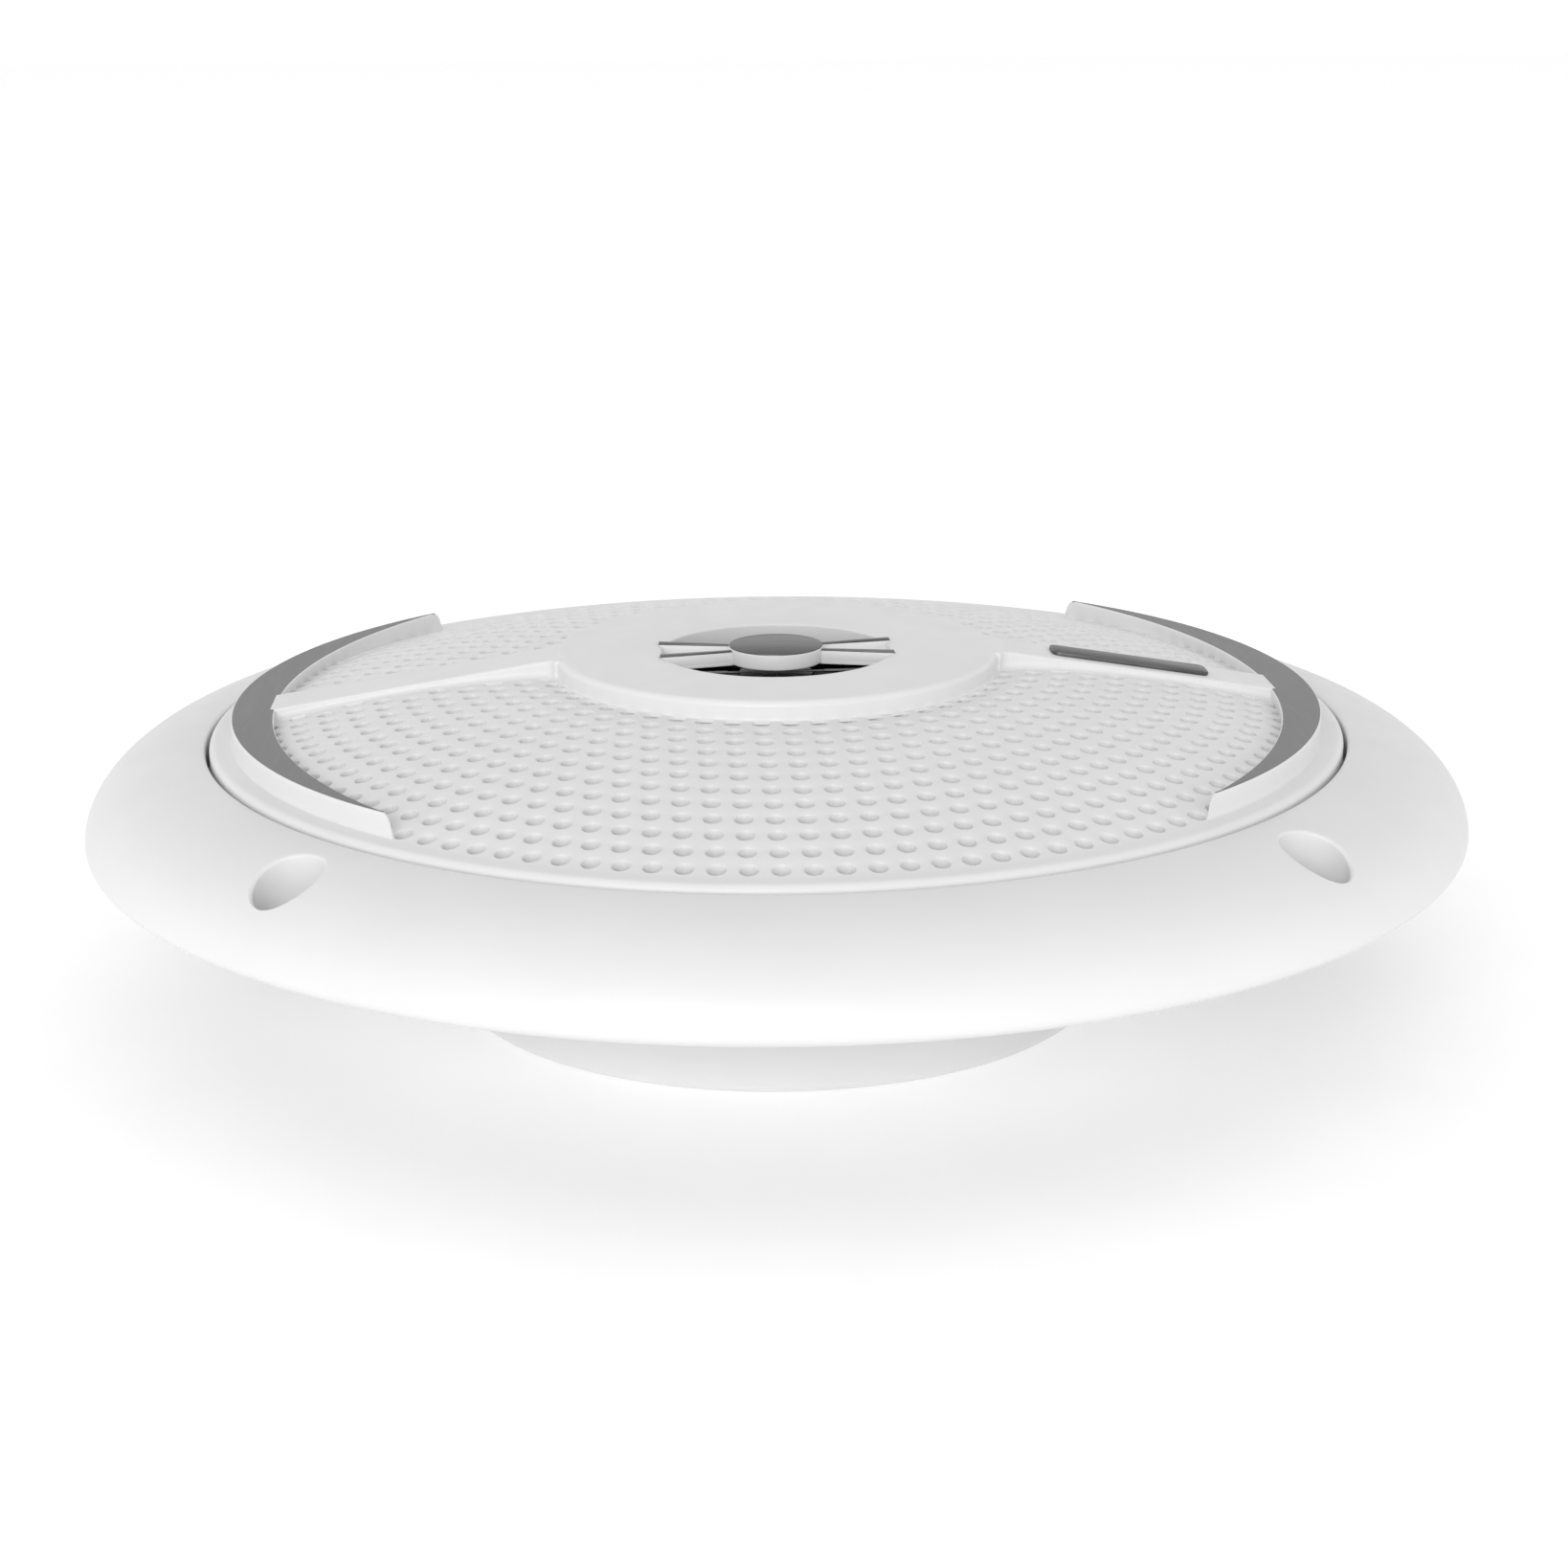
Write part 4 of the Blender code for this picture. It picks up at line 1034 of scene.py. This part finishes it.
def makeTerminals():
    sizes = terminalSizes
    half, near, face = sizes["halfWidth"], sizes["near"], sizes["face"]
    plan = [(-half, near), (half, near), (half, face), (-half, face)]
    block = newObject("terminalBlock", raisedMesh("block", plan, sizes["bottom"], sizes["top"]))
    cover = newObject("coverSide", plainDisc("coverSide", 44.9, 0.0, 20.0, 192))
    combined(block, cover, "DIFFERENCE")
    mouth = [(-8.6, 48.3), (8.6, 48.3), (8.6, 50.0), (-8.6, 50.0)]
    sockets = newObject("sockets", raisedMesh("socket", mouth, 6.4, 13.0))
    combined(block, sockets, "DIFFERENCE")
    bevelled(block, 0.35, 3)
    finished(block, "frame", blackPlastic, black, ["terminal_block"])
    for word, x, half in (("wide", -4.8, 2.4), ("narrow", 5.2, 1.4)):
        low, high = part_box("terminal_blade_" + word)
        near, far, taper = low.y / mm, high.y / mm, 0.8
        outline = [(x - half, near - 1.2), (x + half, near - 1.2), (x + half, far - taper),
                   (x + half - taper, far), (x - half + taper, far), (x - half, far - taper)]
        blade = newObject("terminalBlade" + word.title(), raisedMesh("blade", outline, low.z / mm, high.z / mm))
        hole = newObject("bladeHole", plainDisc("bladeHole", 0.7, low.z / mm - 1, high.z / mm + 1, 24))
        hole.data.transform(Matrix.Translation((x * mm, (near + 4.4) * mm, 0.0)))
        combined(blade, hole, "DIFFERENCE")
        bevelled(blade, 0.12, 2)
        finished(blade, "frame", brassPlate, "brass", ["terminal_blade_" + word])


# the tweeter

tweeterSizes = {
    "radius": nodeRadius("tweeter_face"), "faceTop": nodeTop("tweeter_face"),
    "faceBottom": nodeBottom("tweeter_face"),
    "slotInner": 5.0, "slotOuter": 14.2, "slotHalfAngle": 16.5, "slots": 8, "lineHalfWidth": 0.32,
    "domeRadius": 10.0, "domeTop": nodeTop("tweeter_dome"), "edge": 39.5, "skin": 0.4, "seatRadius": 15.9,
}


def makeTweeter():
    sizes = tweeterSizes
    top, bottom, radius = sizes["faceTop"], sizes["faceBottom"], sizes["radius"]
    outline = roundedPath([(0.0, top), (radius, top, 0.4), (radius, bottom, 0.15), (0.0, bottom)], 4, False)
    face = newObject("tweeterFace", turnedMesh("tweeterFace", outline, 128, closed=False))
    half, steps = math.radians(sizes["slotHalfAngle"]), 8
    sector = [(sizes["slotOuter"] * math.cos(half * (2 * i / steps - 1)),
               sizes["slotOuter"] * math.sin(half * (2 * i / steps - 1))) for i in range(steps + 1)]
    sector += [(sizes["slotInner"] * math.cos(half * (1 - 2 * i / steps)),
                sizes["slotInner"] * math.sin(half * (1 - 2 * i / steps))) for i in range(steps + 1)]
    slot = raisedMesh("slot", sector, bottom - 2.0, top + 2.0)
    combined(face, joinedCopies("slots", slot, turns(sizes["slots"], 180.0 / sizes["slots"])), "DIFFERENCE")
    bevelled(face, 0.14, 2)
    finished(face, "frame", blackPlastic, black, ["tweeter_face"])
    ray = newObject("ray", raisedMesh("ray", [(6.5, -sizes["lineHalfWidth"]), (13.6, -sizes["lineHalfWidth"]),
                                              (13.6, sizes["lineHalfWidth"]), (6.5, sizes["lineHalfWidth"])],
                                      top - 0.1, top + 0.12))
    bevelled(ray, 0.06, 1)
    rays = setAround("tweeterFaceRays", ray, sizes["slots"], onAxis, 0.0, lightLine)
    finished(rays, "frame", lightLine, white, ["tweeter_face"])
    cupTop, base = nodeTop("tweeter_cup"), nodeBottom("tweeter_cup")
    outline = roundedPath([(0.0, base + 1.5), (radius - 1.6, base + 1.5, 0.5), (radius - 1.6, cupTop, 0.2),
                           (radius, cupTop, 0.2), (radius, base, 1.0), (0.0, base)], 4, False)
    turnedPiece("tweeterCup", outline, "frame", blackPlastic, black, "tweeter_cup", 128, False)
    skin, rows = [], 16
    for row in range(rows + 1):
        angle = math.pi / 2 * row / rows
        skin.append((sizes["domeRadius"] * math.sin(angle),
                     sizes["edge"] + (sizes["domeTop"] - sizes["edge"]) * math.cos(angle)))
    for row in range(1, 9):
        angle = math.pi * row / 8
        skin.append((12.0 - 2.0 * math.cos(angle), sizes["edge"] + 0.5 * math.sin(angle)))
    skin.append((sizes["seatRadius"], sizes["edge"]))
    outline = [(r if r > 0.001 else 0.0, z) for r, z in thick(skin, sizes["skin"])]
    turnedPiece("silkDome", outline, "tweeter_diaphragm", domeSilk, "silk", "tweeter_dome", 96, False)


makeBezel()
makeRearCover()
makeBasket()
makeBasketRibs()
makeBasketScrews()
makeGasket()
makeTerminals()
print("housing ready")
makeCone()
makeSurround()
makeSpider()
makeLeads()
makeTweeter()
print("drivers ready")

# the CAD nodes that stay in view
finishes = {
    "steel": machinedSteel, "zinc": zincPlate, "ferrite": ferrite, "kapton": polyimide, "copper": copperWire,
    "brass": brassPlate, "black": blackPlastic,
}
keptNodes = {
    "steel": ("yoke", "front_plate", "tweeter_post", "tweeter_pot", "tweeter_pole_plate"),
    "zinc": ("post_screw", "tweeter_magnet"), "ferrite": ("magnet",), "kapton": ("coil_former",),
    "copper": ("voice_coil", "tweeter_coil"), "brass": ("lead_post_left", "lead_post_right"),
    "black": ("crossover_capacitor", "tweeter_seat"),
}
for finish, nodeNames in keptNodes.items():
    for nodeName in nodeNames:
        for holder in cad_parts[nodeName].material_slots:
            holder.material = finishes[finish]

# the camera, the floor and the light

cameraSizes = {"lens": 65.93, "sensor": 36.0, "distance": 386.5, "elevation": 14.66, "turn": 3.3, "roll": -0.39,
               "tip": -1.2985, "swing": -0.1528}


def makeCamera():
    sizes = cameraSizes
    elevation, turn = math.radians(sizes["elevation"]), math.radians(sizes["turn"])
    target = Vector((0.0, 0.0, grilleSizes["lipHeight"] * mm))
    level = math.cos(elevation)
    back = Vector((-level * math.sin(turn), -level * math.cos(turn), math.sin(elevation)))
    data = bpy.data.cameras.new("camera")
    data.lens, data.sensor_width = sizes["lens"], sizes["sensor"]
    data.clip_start, data.clip_end = 0.01, 20.0
    camera = bpy.data.objects.new("camera", data)
    bpy.context.scene.collection.objects.link(camera)
    aim = (-back).to_track_quat("-Z", "Y").to_matrix().to_4x4()
    for angle, axis in ((sizes["roll"], "Z"), (sizes["tip"], "X"), (sizes["swing"], "Y")):
        aim = aim @ Matrix.Rotation(math.radians(angle), 4, axis)
    camera.matrix_world = Matrix.Translation(target + back * sizes["distance"] * mm) @ aim
    bpy.context.scene.camera = camera


floorSizes = {"half": 4.0, "colour": 0.90, "glow": 0.30}


def makeFloor():
    half = floorSizes["half"]
    verts = [(-half, -half, 0.0), (half, -half, 0.0), (half, half, 0.0), (-half, half, 0.0)]
    floor = newObject("floor", newMesh("floor", verts, [[0, 1, 2, 3]]))
    paleFloor = mouldedPlastic("paleFloor", (floorSizes["colour"],) * 3, 0.85, 0.0, 0.2)
    shader = paleFloor.node_tree.nodes["Principled BSDF"]
    shader.inputs["Emission Color"].default_value = (1.0, 1.0, 1.0, 1.0)
    shader.inputs["Emission Strength"].default_value = floorSizes["glow"]
    floor.data.materials.append(paleFloor)


def softLight(name, place, target, size, power):
    data = bpy.data.lights.new(name, "AREA")
    data.shape, data.size, data.size_y, data.energy = "RECTANGLE", size[0], size[1], power
    light = bpy.data.objects.new(name, data)
    bpy.context.scene.collection.objects.link(light)
    place, target = Vector(place), Vector(target)
    aim = (target - place).to_track_quat("-Z", "Y").to_matrix().to_4x4()
    light.matrix_world = Matrix.Translation(place) @ aim


lightSizes = {"horizon": 1.18, "zenith": 0.64, "front": 9.0, "frontPlace": (-0.35, -1.45, 0.62),
              "frontSize": (1.0, 0.3)}


def makeLights():
    # a white cove: brighter at the horizon than overhead, with one low soft key in front
    world = bpy.data.worlds.new("studio")
    bpy.context.scene.world = world
    world.use_nodes = True
    tree = world.node_tree
    background = tree.nodes["Background"]
    direction = tree.nodes.new("ShaderNodeTexCoord").outputs["Generated"]
    split = tree.nodes.new("ShaderNodeSeparateXYZ")
    tree.links.new(direction, split.inputs["Vector"])
    height = tree.nodes.new("ShaderNodeMapRange")
    height.interpolation_type = "SMOOTHSTEP"
    for key, value in (("From Min", 0.12), ("From Max", 0.75), ("To Min", lightSizes["horizon"]),
                       ("To Max", lightSizes["zenith"])):
        height.inputs[key].default_value = value
    tree.links.new(split.outputs["Z"], height.inputs["Value"])
    tree.links.new(height.outputs["Result"], background.inputs["Strength"])
    background.inputs["Color"].default_value = (1.0, 1.0, 1.0, 1.0)
    sizes = lightSizes
    softLight("frontSoftbox", sizes["frontPlace"], (0.0, 0.0, 0.03), sizes["frontSize"], sizes["front"])


makeCamera()
makeFloor()
makeLights()
bpy.context.scene.view_settings.view_transform = "Standard"
